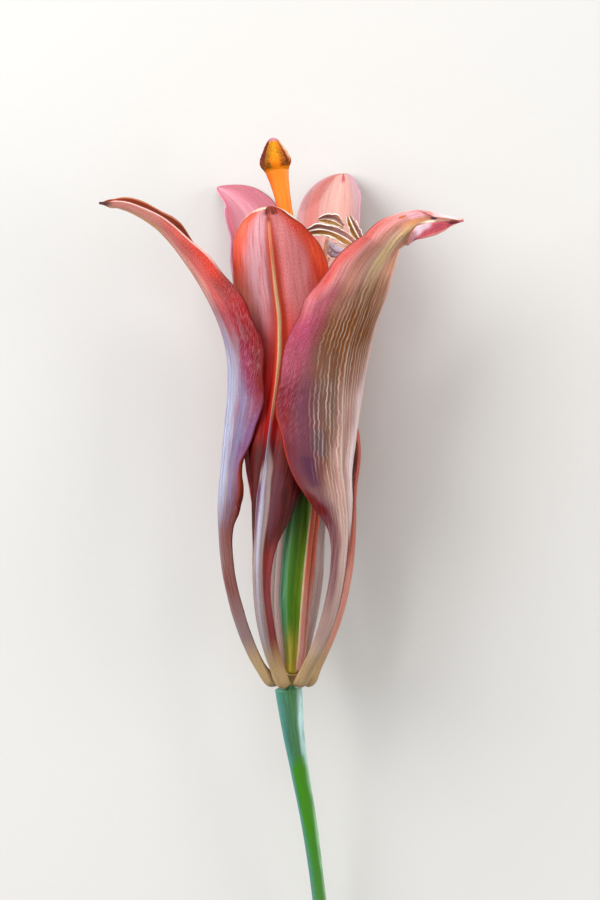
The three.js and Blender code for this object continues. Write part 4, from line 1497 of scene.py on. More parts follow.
SEPAL_RIGHT_SKIN = Skin("right sepal", "#6C3C1C", (
    Wash("#AB9087", ((0, 1), (20, 1), (27, 0.8), (33, 0)), grain=PLAIN),
    Wash("#720E0E", ((10, 0.05, 2, 0.4), (16, 0.05, 2, 0.9), (22, 0.1, 2, 0.9), (27, 0.35, 2, 0.3)), 0.12),
    Wash("#60303A", ((10, -2, -0.3, 0.3), (18, -2, -0.3, 0.8), (27, -2, -0.35, 0.9), (31, -0.8, -0.5, 0)),
         0.2),
    Wash("#B28A81", ((25, -0.35, 2, 0.4), (30, -0.3, 2, 0.9), (40, -0.15, 2, 0.8), (48, 0.1, 2, 0.4),
         (56, 0.4, 2, 0)), 0.24),
    Wash("#E0CDD0", ((26, 0.2, 2, 0.6), (32, 0.28, 2, 1), (42, 0.36, 2, 0.7), (50, 0.5, 2, 0.2)), gain=0.5),
    Wash("#7A4618", ((47, -0.5, 0.5, 0.3), (52, -0.45, 0.7, 0.9), (58, -0.2, 0.7, 0.8),
         (66, 0.1, 0.9, 0.3)), 0.2),
    Wash("#6E5448", ((35, -0.5, -0.1, 0.2), (41, -0.5, -0.05, 0.9), (47, -0.5, -0.15, 0.5)), 0.16),
    Wash("#613243", ((28, -2, -0.48, 0.5), (34, -2, -0.42, 0.9), (42, -2, -0.44, 0.9),
         (48, -2, -0.5, 0.5)), 0.16),
    Wash("#700D0E", ((33, -2, -0.85, 0.4), (40, -2, -0.76, 0.9), (46, -2, -0.75, 0.8),
         (51, -2, -0.8, 0.3)), 0.14),
    Wash("#A83C5C", ((47, -2, -0.6, 0.4), (51, -2, -0.6, 0.9), (56, -2, -0.58, 0.8), (61, -2, -0.6, 0.2)),
         0.14),
    Wash("#EC9C98", ((55, -2, -0.8, 0.5), (60, -2, -0.62, 0.9), (70, -2, -0.5, 0.9), (80, -2, -0.3, 0.9))),
    Wash("#DE5046", ((49, -2, -0.95, 0.1), (54, -2, -0.88, 0.45), (59, -2, -0.8, 0.75),
         (66, -2, -0.75, 0.7)), 0.14, gain=0.5),
    Wash("#D28F7B", ((56, -0.62, -0.2, 0.3), (60, -0.58, -0.15, 0.8), (68, -0.5, -0.1, 0.9),
         (73, -0.4, 0, 0.3)), 0.16),
    Wash("#C49C8D", ((58, -0.36, 0.1, 0.2), (63, -0.32, 0.25, 0.85), (70, -0.3, 0.4, 0.9),
         (76, -0.3, 0.4, 0.6)), 0.16),
    Wash("#D2B87B", ((60, -0.2, 0.15, 0.2), (64, -0.2, 0.14, 0.7), (70, -0.2, 0.1, 0.7), (73, -0.2, 0, 0)),
         0.1, gain=0.95),
    Wash("#E1A182", ((58, 0.2, 2, 0.3), (62, 0.2, 2, 0.9), (69, 0.25, 2, 0.8)), 0.16),
    Wash("#9A5834", ((69, -0.7, 0.1, 0.3), (71, -0.7, 0.1, 0.8), (74, -0.6, 0, 0.4)), 0.3, reach=2.0),
    Wash("#C66C94", ((38, -2, -0.6, 0.15), (46, -2, -0.64, 0.35), (58, -2, -0.6, 0.25)), grain=SATIN),
    Wash("#E3BAB9", ((46, -2, -0.3, 0.05), (58, -2, -0.3, 0.14), (72, -2, 0.2, 0.16)), grain=FLECKED),
    Wash("#825752", ((21, -0.52, -0.42, 0.2), (23, -0.55, -0.34, 0.8), (26, -0.52, -0.36, 0.8),
         (29, -0.5, -0.4, 0)), 0.07),
    Wash("#610D0D", ((26, -2, -0.6, 0.4), (27.4, -2, -0.62, 0.95), (29, -2, -0.76, 0.95),
         (31.5, -2, -0.9, 0.4)), 0.08, PLAIN, reach=1.5),
    Wash("#4E4450", spot(36.2, -0.38, 2.4, 0.12, 0.65), 0.12, PLAIN),
    Wash("#46203A", spot(32.5, -0.63, 2.4, 0.13, 0.75), 0.12, PLAIN),
    Wash("#E4CDBE", ((26, -0.5, 2, 0.35), (32, -0.5, 2, 0.6), (46, -0.45, 2, 0.65), (56, -0.4, 2, 0.5),
         (66, -0.3, 2, 0.3)), 0.15, LINED),
    Wash("#BEADA4", ((12, -0.06, 0.14, 0.5), (20, -0.05, 0.14, 0.95), (30, -0.02, 0.03, 1),
         (42, -0.008, 0.008, 0.9), (56, -0.004, 0.004, 0.7), (62, 0, 0, 0)), 0.014, PLAIN),
    Wash("#EDC2BB", ((34, 0.62, 2, 0.4), (64, 0.6, 2, 0.8), (72, 0.6, 2, 0.6)), 0.12),
    FOOT,
    Wash("#BF3513", ((24, -2, -0.975, 0.9), (38, -2, -0.98, 0.95), (44, -2, -0.985, 0.3)), 0.012, PLAIN),
    Wash("#5E1E16", ((44, -2, -0.985, 0.6), (52, -2, -0.98, 0.9), (66, -2, -0.975, 0.9)), 0.01, PLAIN),
    Wash("#D05D69", ((0, 1), (90, 1)), gain=0.3, face=INNER),
    Wash("#D23A54", ((66, 0.8), (80, 0.8)), gain=0.4, face=INNER),
    # Painted glints: pale flecks standing for light on the fine wrinkles of the crimson flap.
    Wash("#FCCFD2", ((66, 0.3), (80, 0.3)), grain=FLECKED, face=INNER),
    Wash("#9A2038", ((66, 0.5), (80, 0.6)), grain=SATIN, face=INNER),
    # Painted highlight: pink-white where the folded flap bulges towards the light at its upper left.
    Wash("#F8DCE8", ((69.4, 0.68, 0.97, 0.5), (70.4, 0.7, 2, 0.95), (72, 0.8, 2, 0.85), (73, 0.9, 2, 0)),
         0.08, PLAIN, INNER),
    Wash("#F09A90", ((69, 0.4, 0.58, 0.7), (76, 0.4, 0.6, 0.9)), 0.03, PLAIN, INNER),
    Wash("#5A2420", ((74.6, 0.9, 2, 0.6), (75.4, 0.7, 2, 0.9), (76.2, 0.6, 2, 0.8)), 0.06, PLAIN, INNER,
         reach=0.4),
    Wash("#E0B0C0", ((69.6, -0.95, -0.5, 0.2), (70.4, -0.9, -0.4, 0.6), (71.4, -0.85, -0.4, 0.55)), 0.12,
         reach=0.8),
    Wash("#C88448", ((68.6, -0.3, -0.05, 0.15), (70, -0.36, -0.05, 0.55), (71.6, -0.36, -0.1, 0.5)), 0.08,
         reach=0.8),
    Wash("#F6D6D8", ((73.2, -2, -0.5, 0.6), (75, -2, -0.4, 0.9), (76.4, -2, -0.3, 0.6)), 0.1, PLAIN,
         reach=0.6),
    Wash("#E8E6D2", ((71.3, -0.05, 0.2, 0.4), (72, -0.1, 0.3, 0.95), (72.9, -0.1, 0.3, 0.8)), 0.08, PLAIN,
         reach=0.4),
    # Painted shade: a dark slit where the flap folds away, ending in a dark spot.
    Wash("#8A3048", ((71.3, -0.97, -0.85, 0.4), (71.9, -0.82, -0.68, 0.9), (72.5, -0.62, -0.46, 0.9),
         (73.1, -0.42, -0.2, 0.95)), 0.05, PLAIN, reach=0.3),
    Wash("#3A2438", spot(72.95, -0.3, 0.55, 0.16, 0.95), 0.06, PLAIN, reach=0.1),
    Wash("#6A3028", spot(75.8, 0.1, 0.8, 0.3, 0.85), 0.08, PLAIN, reach=0.1),
    Wash("#B05A18", spot(69.5, -0.72, 0.55, 0.07, 0.9), 0.04, PLAIN, reach=0.1),
    Wash("#E9A9A6", ((76.5, 0), (77.6, 0.8)), grain=PLAIN, face=BOTH),
))

PETAL_BACK_RIGHT_SKIN = Skin("back right petal", "#B35848", (
    Wash("#C98C7C", ((2, 0.9), (16, 0.8), (22, 0.3), (32, 0)), gain=0.3),
    Wash("#D8928A", ((44, 0), (60, 0.8)), gain=0.2),
    FOOT,
    Wash("#BF8E87", ((0, 1), (90, 1)), face=INNER, gain=0.1),
    Wash("#CE9F94", ((56, -0.4, 0.4, 0), (64, -0.45, 0.4, 0.8), (76, -0.5, 0.4, 0.9)), 0.2, face=INNER,
         gain=0.15),
    Wash("#C3706A", ((56, 0.5, 0.85, 0.7), (76, 0.5, 0.85, 0.9)), 0.16, face=INNER, gain=0.1),
    Wash("#EAAEA3", ((60, -0.07, 0.05, 0), (66, -0.08, 0.05, 0.7), (75, -0.08, 0.05, 0.8)), 0.06, PLAIN,
         INNER),
    Wash("#BA9DA2", ((52, -2, -0.5, 0.6), (76, -2, -0.55, 0.9)), face=INNER, gain=0.1),
    Wash("#C899A8", ((52, -2, -0.88, 0.8), (80, -2, -0.85, 0.9)), 0.06, PLAIN, BOTH),
    Wash("#BE8B90", ((52, 0.88, 2, 0.8), (80, 0.85, 2, 0.9)), 0.06, PLAIN, BOTH),
    Wash("#AD4755", ((74.2, -0.2, 0, 0), (75, -0.3, 0.02, 0.9), (76, -0.25, 0, 1)), 0.08, PLAIN, BOTH),
))

PETAL_BACK_LEFT_SKIN = Skin("back left petal", "#B74A59", (
    Wash("#AE92A1", ((2, 0.8), (20, 0.7), (26, 0.2), (32, 0)), gain=0.2),
    FOOT,
    Wash("#BD7380", ((0, 1), (90, 1)), face=INNER, gain=0.1),
    Wash("#E49BAC", ((56, -0.5, 0.5, 0), (64, -0.5, 0.6, 0.7), (76, -0.4, 0.6, 0.85)), 0.25, face=INNER,
         gain=0.2),
    Wash("#DEA1A9", ((56, -0.1, 0.08, 0), (63, -0.1, 0.08, 0.7), (74, -0.1, 0.08, 0.8)), 0.08, PLAIN,
         INNER),
    Wash("#F68096", ((60, 0.6, 0.85, 0.2), (70, 0.6, 0.9, 0.8), (76, 0.6, 0.9, 0.8)), 0.12, face=INNER,
         gain=0.2),
    Wash("#D39DB4", ((50, 0.9, 2, 0.9), (80, 0.84, 2, 0.9)), 0.05, PLAIN, BOTH),
    Wash("#F8EAEC", ((75, 0), (76.6, 0.9)), grain=PLAIN, face=BOTH),
))

SEPAL_BACK_SKIN = Skin("back sepal", "#BD331A", (
    Wash("#BDACA9", ((0, 0.95), (26, 0.9), (34, 0)), face=BOTH, gain=0.2),
    Wash("#AB867A", ((6, -0.2, 2, 0.6), (14, -0.2, 2, 0.9), (28, -0.2, 2, 0.95), (34, -0.2, 2, 0)), 0.2,
         face=INNER, gain=0.1),
    Wash("#CDB492", ((28, -0.3, 0.3, 0), (38, -0.5, 0.5, 0.6), (56, -0.3, 0.3, 0.4), (64, 0, 0, 0)), 0.3),
    Wash("#E8D7C4", ((24, 0.3), (40, 0.6), (56, 0.4)), 0.3, VEINED),
    FOOT,
))

STEM_SKIN = Skin("stem bloom and painted highlights", "#4E8250", (
    Wash("#46877F", ((0, -2, -0.05, 0.3), (40, -2, -0.06, 0.6), (50, -2, -0.1, 0.9), (63, -2, -0.1, 0.9)),
         0.12, gain=0.2),
    Wash("#3A6A3E", ((48, -0.2, 0.22, 0.2), (55, -0.22, 0.2, 0.7), (61, -0.25, 0.2, 0.8)), 0.1, gain=0.9),
    Wash("#46586E", ((52, -0.3, 0, 0), (56, -0.34, 0, 0.6), (60, -0.3, 0, 0.5), (62, 0, 0, 0)), 0.12,
         FLECKED),
    # Painted highlight: pale blue-white down the right side near the top.
    Wash("#BFE4E4", ((44, 0.22, 0.7, 0), (50, 0.17, 0.8, 0.85), (60, 0.2, 0.8, 0.9), (63, 0.27, 0.8, 0.6)),
         0.08, gain=0.3),
    Wash("#3E8406", ((20, 0, 0.4, 0.4), (34, -0.16, 0.5, 0.75), (44, -0.24, 0.34, 0.95),
         (50.5, -0.26, 0.3, 0.95), (52, -0.1, 0.26, 0.7), (53.2, 0.1, 0.2, 0)), 0.05, PLAIN),
    # Painted highlight: pale green down the right side lower on the stem.
    Wash("#9CD0A0", ((22, 0.26, 0.8, 0.4), (40, 0.24, 0.9, 0.8), (50, 0.26, 0.9, 0.6), (54, 0.3, 0.9, 0)),
         0.08),
    Wash("#6F8A5E", ((0, 0.7), (22, 0.5), (36, 0)), grain=PLAIN),
    Wash("#B09A55", ((62.7, 0.9), (66, 0.95)), grain=PLAIN, reach=0.3),
), streaks=(2.2, 0.3), satin=(3.0, 0.5), satin_slant=4.0, dark="#2E5A3A", shine=0.3, roughness=0.45,
   relief=0.3)

OVARY_SKIN = Skin("ovary bloom", "#3E7010", (
    Wash("#7CCFA0", ((0, -0.8, -0.22, 0.5), (12, -0.8, -0.22, 0.9), (22, -0.8, -0.24, 0.8),
         (30, -0.8, -0.3, 0.4)), 0.07),
    Wash("#74A01A", ((0, 0.1, 0.8, 0.6), (14, 0.1, 0.8, 0.95), (28, 0.1, 0.8, 0.7)), 0.08),
    Wash("#A4BC72", ((4, 0.3, 0.8, 0.4), (14, 0.28, 0.8, 0.7), (24, 0.4, 0.8, 0.2)), 0.08),
    Wash("#6FA878", ((4, -0.2, -0.12, 0.5), (18, -0.2, -0.12, 0.7), (26, -0.2, -0.14, 0.4)), 0.03, PLAIN),
    Wash("#C0B040", ((0, 1), (2.5, 0.7), (8, 0)), grain=PLAIN),
    # Painted shade: dark green over the top of the ovary, under the blades above it.
    Wash("#28400A", ((16, 0), (22, 0.45), (27, 0.9)), grain=PLAIN),
    Wash("#2C5A10", ((2, 0.2), (28, 0.2)), grain=VEINED),
), streaks=(2.5, 0.2), satin=(3.0, 0.4), satin_slant=0.0, dark="#1E3E08", dark_streaks=0.12, shine=0.2,
   relief=0.25)

STYLE_SKIN = Skin("style", "#EE8206", (
    Wash("#D45E04", ((0, -2, -0.25, 0.7), (30, -2, -0.22, 0.8), (44, -2, -0.24, 0.85)), 0.14, gain=0.2),
    # Painted highlight: light orange along the right side.
    Wash("#FF9A34", ((20, 0.3, 0.7, 0.3), (44, 0.25, 0.7, 0.8)), 0.1, gain=0.2),
    Wash("#7A7A1E", ((0, 0.9), (8, 0.3), (16, 0)), grain=PLAIN),
), streaks=(3.0, 0.25), satin=(4.0, 0.4), satin_slant=3.0, dark="#C45A06", dark_streaks=0.35,
   roughness=0.42, shine=0.45, glow=0.25, relief=0.3)

STIGMA_SKIN = Skin("stigma crust", "#E27A06", (
    Wash("#C88A08", ((1.6, -0.2, 0.14, 0.3), (2.4, -0.22, 0.16, 0.8), (4.1, -0.2, 0.12, 0.9)), 0.08,
         reach=0.8),
    Wash("#8A5206", ((0.5, -2, -0.14, 0.9), (2.0, -2, -0.17, 0.8), (3.6, -2, -0.16, 0.5)), 0.05, reach=0.3),
    Wash("#964A0C", ((0.6, 0.12, 2, 0.9), (2.0, 0.13, 2, 0.7), (3.6, 0.14, 2, 0.3)), 0.05, reach=0.3),
    Wash("#3E2208", ((0.5, -0.28, -0.1, 0.8), (4.2, -0.24, -0.07, 0.6)), 0.04, FLECKED, reach=0.3),
    Wash("#3E2208", ((0.6, 0.1, 0.3, 0.85), (2.0, 0.07, 0.26, 0.85), (3.4, 0.06, 0.2, 0.5)), 0.04, FLECKED,
         reach=0.3),
    Wash("#651A16", ((0.2, -2, -0.3, 0.9), (2.5, -2, -0.27, 0.9), (4.4, -2, -0.2, 0.9)), 0.025, reach=0.3),
    Wash("#8C3428", ((0.2, 0.38, 2, 0.8), (4.4, 0.3, 2, 0.9)), 0.04, reach=0.3),
    # Painted highlight: a peach line on the crest beside the right seam.
    Wash("#E6AC80", ((1.4, 0.3, 0.38, 0.5), (2.0, 0.29, 0.38, 0.9), (4.2, 0.24, 0.34, 0.9)), 0.025, PLAIN,
         reach=0.5),
    Wash("#4A1214", ((0.8, 0.8), (4.6, 0.9)), grain=VEINED, reach=0.4),
    Wash("#B8809C", ((4.3, 0.6), (4.7, 0.85)), 0.1, reach=0.3),
), streaks=(4.0, 3.0), flecks=(5.0, 3.4), satin=(6.0, 5.0), dark="#6A3404", dark_streaks=0.25, shade=0.2,
   roughness=0.6, relief=0.7)

FILAMENT_SKIN = Skin("filament", "#CFA596", (
    Wash("#958480", ((0, 0.7), (14, 0.9), (30, 0.4), (60, 0)), gain=0.2),
    Wash("#F0BE94", ((44, 0), (56, 0.9), (70, 0.9)), gain=0.2),
), streaks=(3.0, 0.4), dark="#7A5048")

SALMON_FILAMENT_SKIN = Skin("salmon filament", "#B95A44", (
    Wash("#B08478", ((0, 0.9), (8, 0.7), (16, 0)), gain=0.2),
    Wash("#E8D4A6", ((2, -0.5, -0.18, 0.5), (30, -0.5, -0.18, 0.9)), 0.08, PLAIN),
    Wash("#F0BE94", ((44, 0), (56, 0.9), (70, 0.9)), gain=0.2),
), streaks=(3.0, 0.4), dark="#6A2A20")

ANTHER_SKIN = Skin("dried anther", "#E0A640", (
    Wash("#F6DCA0", ((0, 0.5), (12, 0.5)), gain=0.9),
    Wash("#D9B4BA", ((0, 0.5, 0.68, 0.85), (12, 0.5, 0.68, 0.85)), 0.03, gain=0.5),
    Wash("#E4DAEC", ((0, 0.05, 0.4, 0.95), (12, 0.05, 0.4, 0.95)), 0.04, gain=0.3),
    Wash("#8A94B4", ((0, 0.1, 0.36, 0.8), (12, 0.1, 0.36, 0.8)), 0.04, FLECKED),
    Wash("#7A4A36", ((0, 0.6), (12, 0.6)), grain=HOLLOW),
    Wash("#5A3A26", ((0, 0.36, 0.48, 0.8), (12, 0.36, 0.48, 0.8)), 0.04, gain=0.6),
    Wash("#6E3E20", ((0, 0.5, 2, 0.4), (12, 0.5, 2, 0.4)), 0.04, FLECKED),
    Wash("#FFFDF8", ((0, 0.95), (12, 0.95)), grain=VEINED),
), streaks=(4.0, 0.5), dark="#6A4426", dark_streaks=0.15, shade=0.12, roughness=0.6, relief=0.4)


TEPALS = (
    Tepal(
        node="sepal_left", slot="sepal", facing=-78, ridge=0.25, wave_phase=0.4, seed=3,
        skin=SEPAL_LEFT_SKIN,
        crumple=0.14, crumple_from=74.0, tip_half_width=0.95, tip_start=0.93,
        folds=(Fold(1, ((25.5, 0.86, 0), (27.5, 0.84, -125), (33, 0.88, -120), (37, 0.95, 0)), 0.08),),
        stations=(
            (-2.05, 0.4, 0.45, 0.85, 0.85, 0, 30, 30),
            (-4.8, 4.0, 1.5, 1.3, 1.3, 0, 70, 70),
            (-7.2, 9.8, 2.2, 1.5, 1.5, 0, 80, 80),
            (-8.75, 16.2, 2.5, 1.5, 1.5, 0, 80, 80),
            (-9.4, 22.2, 2.2, 1.9, 2.2, 0, 75, 75),
            (-9.45, 27.2, 2.2, 3.4, 5.2, 0, 65, 72),
            (-9.1, 31.6, 2.2, 5.0, 4.6, 0, 60, 60),
            (-8.6, 37.0, 2.0, 6.6, 6.6, 0, 52, 55),
            (-8.2, 42.4, 1.7, 7.4, 7.6, 0, 50, 54),
            (-8.6, 48.0, 1.9, 7.8, 7.8, 0, 50, 55),
            (-10.7, 53.8, 3.2, 7.8, 7.4, 2, 50, 50),
            (-14.2, 59.6, 5.4, 7.2, 6.9, 4, 52, 34),
            (-17.9, 63.9, 7.6, 5.2, 5.5, 6, 60, 26),
            (-22.0, 66.4, 9.2, 3.9, 4.0, 8, 60, 24),
            (-26.2, 67.2, 10.4, 2.8, 2.9, 8, 50, 36),
        ),
    ),
    Tepal(
        node="petal_front", slot="petal", facing=-10, ridge=0.6, wave_phase=1.7, seed=5,
        skin=PETAL_FRONT_SKIN,
        pillow=0.3, groove=0.22, vein_height=0.035, crumple=0.16, crumple_from=65.5,
        stations=(
            (-0.7, 0.4, 1.97, 0.85, 0.85, 10, 30, 30),
            (-2.5, 4.6, 4.5, 1.2, 1.2, 12, 60, 60),
            (-3.7, 9.6, 6.9, 1.3, 1.4, 12, 70, 70),
            (-4.2, 15.0, 8.2, 1.3, 1.5, 12, 70, 70),
            (-4.2, 20.4, 8.6, 1.4, 2.6, 12, 65, 60),
            (-3.8, 26.2, 7.9, 2.4, 5.0, 12, 60, 55),
            (-3.1, 32.2, 7.1, 3.6, 6.8, 10, 50, 60),
            (-2.3, 38.2, 6.4, 5.8, 7.8, 6, 60, 60),
            (-1.5, 44.6, 6.2, 7.4, 8.0, 3, 62, 60),
            (-1.3, 50.6, 6.6, 8.2, 8.2, 2, 55, 55),
            (-1.95, 56.6, 7.4, 8.1, 8.1, 2, 58, 44),
            (-2.55, 62.0, 8.2, 7.5, 6.5, 0, 56, 42),
            (-3.05, 67.0, 8.3, 6.9, 4.9, 0, 40, 42),
        ),
    ),
    Tepal(
        node="sepal_right", slot="sepal", facing=38, ridge=0.25, wave_phase=3.1, seed=8,
        skin=SEPAL_RIGHT_SKIN,
        vein_height=0.03, vein_spread=22.0, crumple=0.16, crumple_from=71.0,
        folds=(
            Fold(1, ((66.2, 1.1, -165), (67.6, 0.7, -172), (69, 0.54, -176), (71, 0.5, -168),
                     (90, 0.5, -168)), 0.14),
        ),
        twists=((65.5, 0), (68.5, -30), (70.5, -62), (72.5, -76), (90, -85)),
        stations=(
            (1.1, 0.4, 1.65, 0.95, 0.85, 0, 30, 30),
            (3.9, 5.4, 4.8, 1.2, 1.2, 0, 60, 60),
            (6.0, 11.2, 6.8, 1.4, 1.4, 0, 70, 70),
            (7.1, 17.2, 7.7, 1.5, 1.5, 0, 70, 70),
            (7.5, 22.4, 7.7, 2.4, 2.0, 0, 60, 65),
            (7.3, 26.6, 7.8, 5.0, 3.6, 0, 55, 70),
            (6.85, 31.0, 7.6, 7.2, 5.4, 0, 54, 78),
            (6.9, 36.0, 7.2, 9.0, 7.6, 0, 56, 77),
            (7.05, 41.4, 7.1, 9.3, 8.6, 0, 57, 67),
            (7.75, 47.2, 7.2, 8.6, 9.2, 0, 57, 64),
            (9.55, 52.8, 8.6, 7.75, 8.6, 0, 50, 60),
            (11.55, 57.9, 10.6, 6.3, 6.9, 0, 40, 50),
            (14.0, 61.5, 12.3, 4.4, 3.5, 0, 32, 50),
            (16.0, 63.4, 13.1, 2.9, 3.3, 0, 20, 40),
            (17.4, 64.35, 13.3, 2.0, 4.2, 0, 10, 15),
            (18.9, 64.7, 13.4, 1.6, 4.4, 0, 5, 10),
            (20.6, 64.85, 13.4, 1.1, 4.0, 0, 5, 10),
            (22.2, 64.9, 13.3, 0.75, 2.6, 0, 5, 10),
            (23.9, 64.75, 13.3, 0.5, 0.9, 0, 5, 10),
        ),
    ),
    Tepal(
        node="petal_back_right", slot="petal", facing=126, ridge=0.5, wave_phase=4.6, seed=13,
        skin=PETAL_BACK_RIGHT_SKIN, rows=220, half_columns=34, groove=0.15, vein_height=0.03,
        stations=(
            (2.07, 0.4, -0.37, 0.85, 0.85, 26, 30, 30),
            (4.4, 4.8, -1.8, 1.2, 1.2, 14, 60, 60),
            (6.5, 10.0, -3.3, 1.4, 1.4, 6, 70, 70),
            (7.9, 16.0, -4.4, 1.5, 1.5, 2, 70, 70),
            (8.5, 22.0, -5.0, 1.6, 1.8, 0, 60, 60),
            (8.6, 27.6, -5.2, 3.0, 4.2, 2, 55, 60),
            (9.0, 33.4, -5.2, 4.0, 6.0, 4, 50, 62),
            (7.9, 39.6, -5.2, 5.0, 7.2, 6, 58, 62),
            (6.8, 46.0, -5.4, 7.6, 7.8, 7, 62, 62),
            (6.8, 52.0, -6.6, 8.0, 7.8, 5, 55, 55),
            (6.8, 58.0, -8.8, 7.6, 6.3, -4, 50, 50),
            (6.6, 63.6, -11.2, 7.0, 6.0, -12, 45, 42),
            (6.8, 68.4, -13.2, 6.2, 6.2, -18, 40, 35),
            (7.5, 72.8, -14.3, 5.4, 5.4, -20, 30, 25),
        ),
    ),
    Tepal(
        node="sepal_back", slot="sepal", facing=172, ridge=0.25, wave_phase=5.5, seed=17,
        skin=SEPAL_BACK_SKIN,
        rows=200, half_columns=30,
        stations=(
            (0.7, 0.4, -1.97, 0.85, 0.85, 12, 30, 30),
            (1.65, 4.6, -4.6, 1.2, 1.2, 10, 60, 60),
            (2.7, 9.8, -6.9, 1.4, 1.4, 8, 70, 70),
            (3.5, 15.6, -8.6, 1.5, 1.5, 6, 70, 70),
            (3.6, 21.6, -9.5, 1.8, 1.8, 4, 60, 60),
            (3.2, 27.6, -10.0, 3.4, 4.0, 0, 50, 50),
            (2.6, 33.8, -10.3, 4.6, 6.4, 0, 38, 46),
            (2.0, 40.2, -10.6, 6.2, 7.6, 0, 40, 44),
            (1.4, 46.6, -11.4, 7.6, 7.6, 0, 42, 42),
            (0.9, 52.0, -12.8, 7.0, 7.0, 0, 36, 36),
            (0.4, 56.6, -14.4, 5.4, 5.4, 0, 20, 20),
            (-0.1, 61.6, -14.9, 2.8, 2.8, 0, 10, 10),
        ),
    ),
    Tepal(
        node="petal_back_left", slot="petal", facing=-145, ridge=0.5, wave_phase=0.9, seed=21,
        skin=PETAL_BACK_LEFT_SKIN, rows=220, half_columns=34, groove=0.15, vein_height=0.03,
        stations=(
            (-1.35, 0.4, -1.6, 0.85, 0.85, -4, 30, 30),
            (-2.2, 4.8, -4.2, 1.2, 1.2, 4, 60, 60),
            (-3.0, 10.0, -6.3, 1.4, 1.4, 8, 70, 70),
            (-3.6, 16.0, -7.4, 1.5, 1.5, 10, 70, 70),
            (-3.7, 22.0, -7.7, 1.8, 1.8, 8, 60, 60),
            (-3.6, 28.0, -7.4, 3.8, 4.0, 6, 60, 60),
            (-3.4, 34.0, -6.9, 6.2, 6.4, 6, 60, 60),
            (-3.2, 40.0, -6.7, 7.2, 7.4, 7, 62, 62),
            (-3.2, 46.0, -6.9, 7.6, 7.8, 7, 62, 62),
            (-3.5, 52.0, -7.9, 6.8, 8.0, 5, 55, 55),
            (-3.9, 58.0, -9.8, 5.5, 8.0, 2, 50, 50),
            (-4.8, 63.2, -11.8, 4.9, 7.2, 0, 45, 45),
            (-7.0, 67.8, -13.6, 5.0, 5.6, 0, 40, 40),
            (-10.4, 70.8, -14.2, 3.0, 3.0, 0, 30, 30),
        ),
    ),
)

STEM_PATH = (
    (5.8, -60.0, -14.0, 1.0),
    (5.6, -50.0, -12.6, 1.0),
    (5.1, -40.0, -10.4, 0.98),
    (4.1, -30.0, -7.7, 0.98),
    (2.8, -20.0, -4.7, 1.12),
    (1.4, -12.0, -2.4, 1.28),
    (0.45, -6.0, -0.7, 1.56),
    (-0.2, -0.1, 0.0, 1.95),
)
OVARY_PATH = (
    (0.1, 1.95, 0.0, 0.85),
    (0.15, 4.4, 0.05, 0.95),
    (0.15, 8.0, 0.1, 1.25),
    (0.15, 12.6, 0.1, 1.62),
    (0.5, 18.0, 0.1, 1.74),
    (1.2, 23.6, 0.1, 1.74),
    (1.5, 27.4, 0.15, 1.45),
    (1.6, 29.0, 0.2, 1.05),
)
STYLE_PATH = (
    (1.6, 29.3, 0.2, 0.95),
    (1.9, 40.0, 0.6, 0.9),
    (1.4, 51.0, 1.2, 0.92),
    (0.3, 61.0, 1.8, 0.95),
    (-0.8, 67.4, 2.0, 1.02),
    (-1.4, 70.4, 2.0, 1.25),
    (-1.82, 72.4, 2.0, 1.6),
)
STIGMA_PATH = (
    (-1.8, 72.26, 2.0, 1.55),
    (-2.0, 73.4, 2.0, 2.05),
    (-2.15, 74.6, 2.0, 1.7),
    (-2.3, 75.8, 2.0, 1.1),
    (-2.4, 76.9, 2.0, 0.5),
)


@dataclass(frozen=True)
class Stamen:
    """A filament that climbs beside the pistil, and the bent line of the dried anther on its end."""

    number: int
    side: float
    end: tuple[float, float, float]
    anther: tuple[Row, ...]
    ridge: float = 0.3
    tilt: float = 0.0
    skin: Skin = FILAMENT_SKIN
    radius: float = 0.38
    end_share: float = 0.85  # thickness at the anther, as a share
    heights: Row = (2.3, 6.0, 12.5, 20.0, 28.0, 38.0, 48.0)
    distances: Row = (1.42, 1.85, 2.45, 2.6, 2.7, 2.9, 3.3)  # from the pistil's axis, at each height

    def filament_path(self) -> list[Row]:
        """Lays the filament on its own side of the pistil and then bends it to the anther.

        Returns:
            The rings of its path.
        """
        axis = np.array([*OVARY_PATH, *STYLE_PATH])
        angle = math.radians(self.side)
        path = []
        for height, distance in zip(self.heights, self.distances):
            x = float(np.interp(height, axis[:, Y], axis[:, X])) + distance * math.sin(angle)
            z = float(np.interp(height, axis[:, Y], axis[:, Z])) + distance * math.cos(angle)
            path.append((x, height, z, self.radius))
        return [*path, (*self.end, self.radius * self.end_share)]

    def pieces(self) -> tuple[Filament, Anther]:
        """Sets out the filament and its anther.

        Returns:
            Both pieces, ready to build.
        """
        filament = Filament(
            f"filament_{self.number}", "filament", self.skin, self.filament_path(), sides=20, rings=110,
            seed=self.number, blunt=(0.3, 0.3),
        )
        anther = Anther(
            f"anther_{self.number}", "anther", ANTHER_SKIN, self.anther, sides=90, rings=80,
            seed=self.number, ridge=self.ridge, tilt=self.tilt,
        )
        return filament, anther


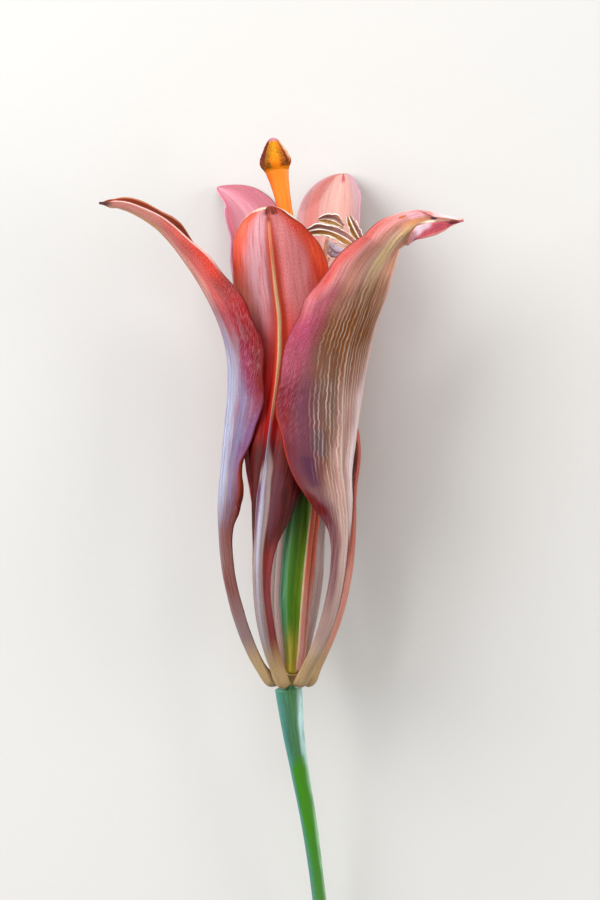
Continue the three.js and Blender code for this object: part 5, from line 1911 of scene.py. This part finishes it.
STAMENS = (
    Stamen(1, 48, (5.1, 62.6, 3.6), (
        (2.3, 63.7, 4.2, 0.45), (4.1, 64.0, 4.4, 0.8), (6.0, 63.6, 4.5, 0.85), (7.8, 62.7, 4.4, 0.8),
        (9.2, 61.7, 4.2, 0.45)), skin=SALMON_FILAMENT_SKIN),
    Stamen(2, 100, (8.25, 63.2, 0.65), (
        (8.2, 66.0, 1.2, 0.3), (8.6, 65.0, 1.4, 0.75), (9.2, 63.8, 1.4, 0.8), (10.0, 62.4, 1.2, 0.4)),
        skin=SALMON_FILAMENT_SKIN),
    Stamen(3, 152, (5.45, 64.65, -0.6), (
        (4.0, 65.5, 0.2, 0.3), (5.0, 65.6, 0.2, 0.7), (6.2, 65.4, 0.1, 0.75), (7.5, 64.6, -0.2, 0.4)),
        ridge=-0.5),
    Stamen(4, 206, (5.5, 60.5, -4.0), (
        (5.3, 62.9, -2.6, 0.35), (5.6, 61.9, -2.3, 0.85), (6.5, 61.3, -2.3, 0.95), (7.7, 61.4, -2.6, 0.5)),
        tilt=150),
    Stamen(5, -100, (-3.4, 57.6, 1.5), (
        (-4.6, 61.6, 1.75, 0.4), (-4.6, 60, 2.05, 0.8), (-4.5, 58.4, 2.05, 0.8), (-4.2, 56.8, 1.75, 0.4))),
    Stamen(6, -52, (-0.2, 60.0, 4.6), (
        (-1.9, 61.0, 4.6, 0.4), (-0.6, 61.5, 4.8, 0.8), (1.2, 61.3, 4.8, 0.8), (2.6, 60.4, 4.6, 0.4))),
)


PISTIL = (
    Ovary("ovary", "ovary", OVARY_SKIN, OVARY_PATH, sides=96, seed=4, blunt=(0.5, 0.5)),
    Style("style", "style", STYLE_SKIN, STYLE_PATH, sides=60, rings=150, seed=6, blunt=(0.3, 0.0)),
    Stigma("stigma", "stigma", STIGMA_SKIN, STIGMA_PATH, sides=150, rings=110, seed=7, blunt=(0.0, 0.5)),
)


def main() -> None:
    """Builds the flower piece by piece, reports each, and sets up the studio round it."""
    logging.basicConfig(level=logging.INFO, format="%(message)s")
    stem = Stem("stem", "stem", STEM_SKIN, STEM_PATH, sides=64, rings=150, seed=2, even_shares=True)
    stamens = [piece for stamen in STAMENS for piece in stamen.pieces()]
    for piece in (*TEPALS, stem, *PISTIL, *stamens):
        piece.build()
        log.info("built %s", piece.node)
    Studio().build()
    log.info("built the studio")


if __name__ == "__main__":
    main()
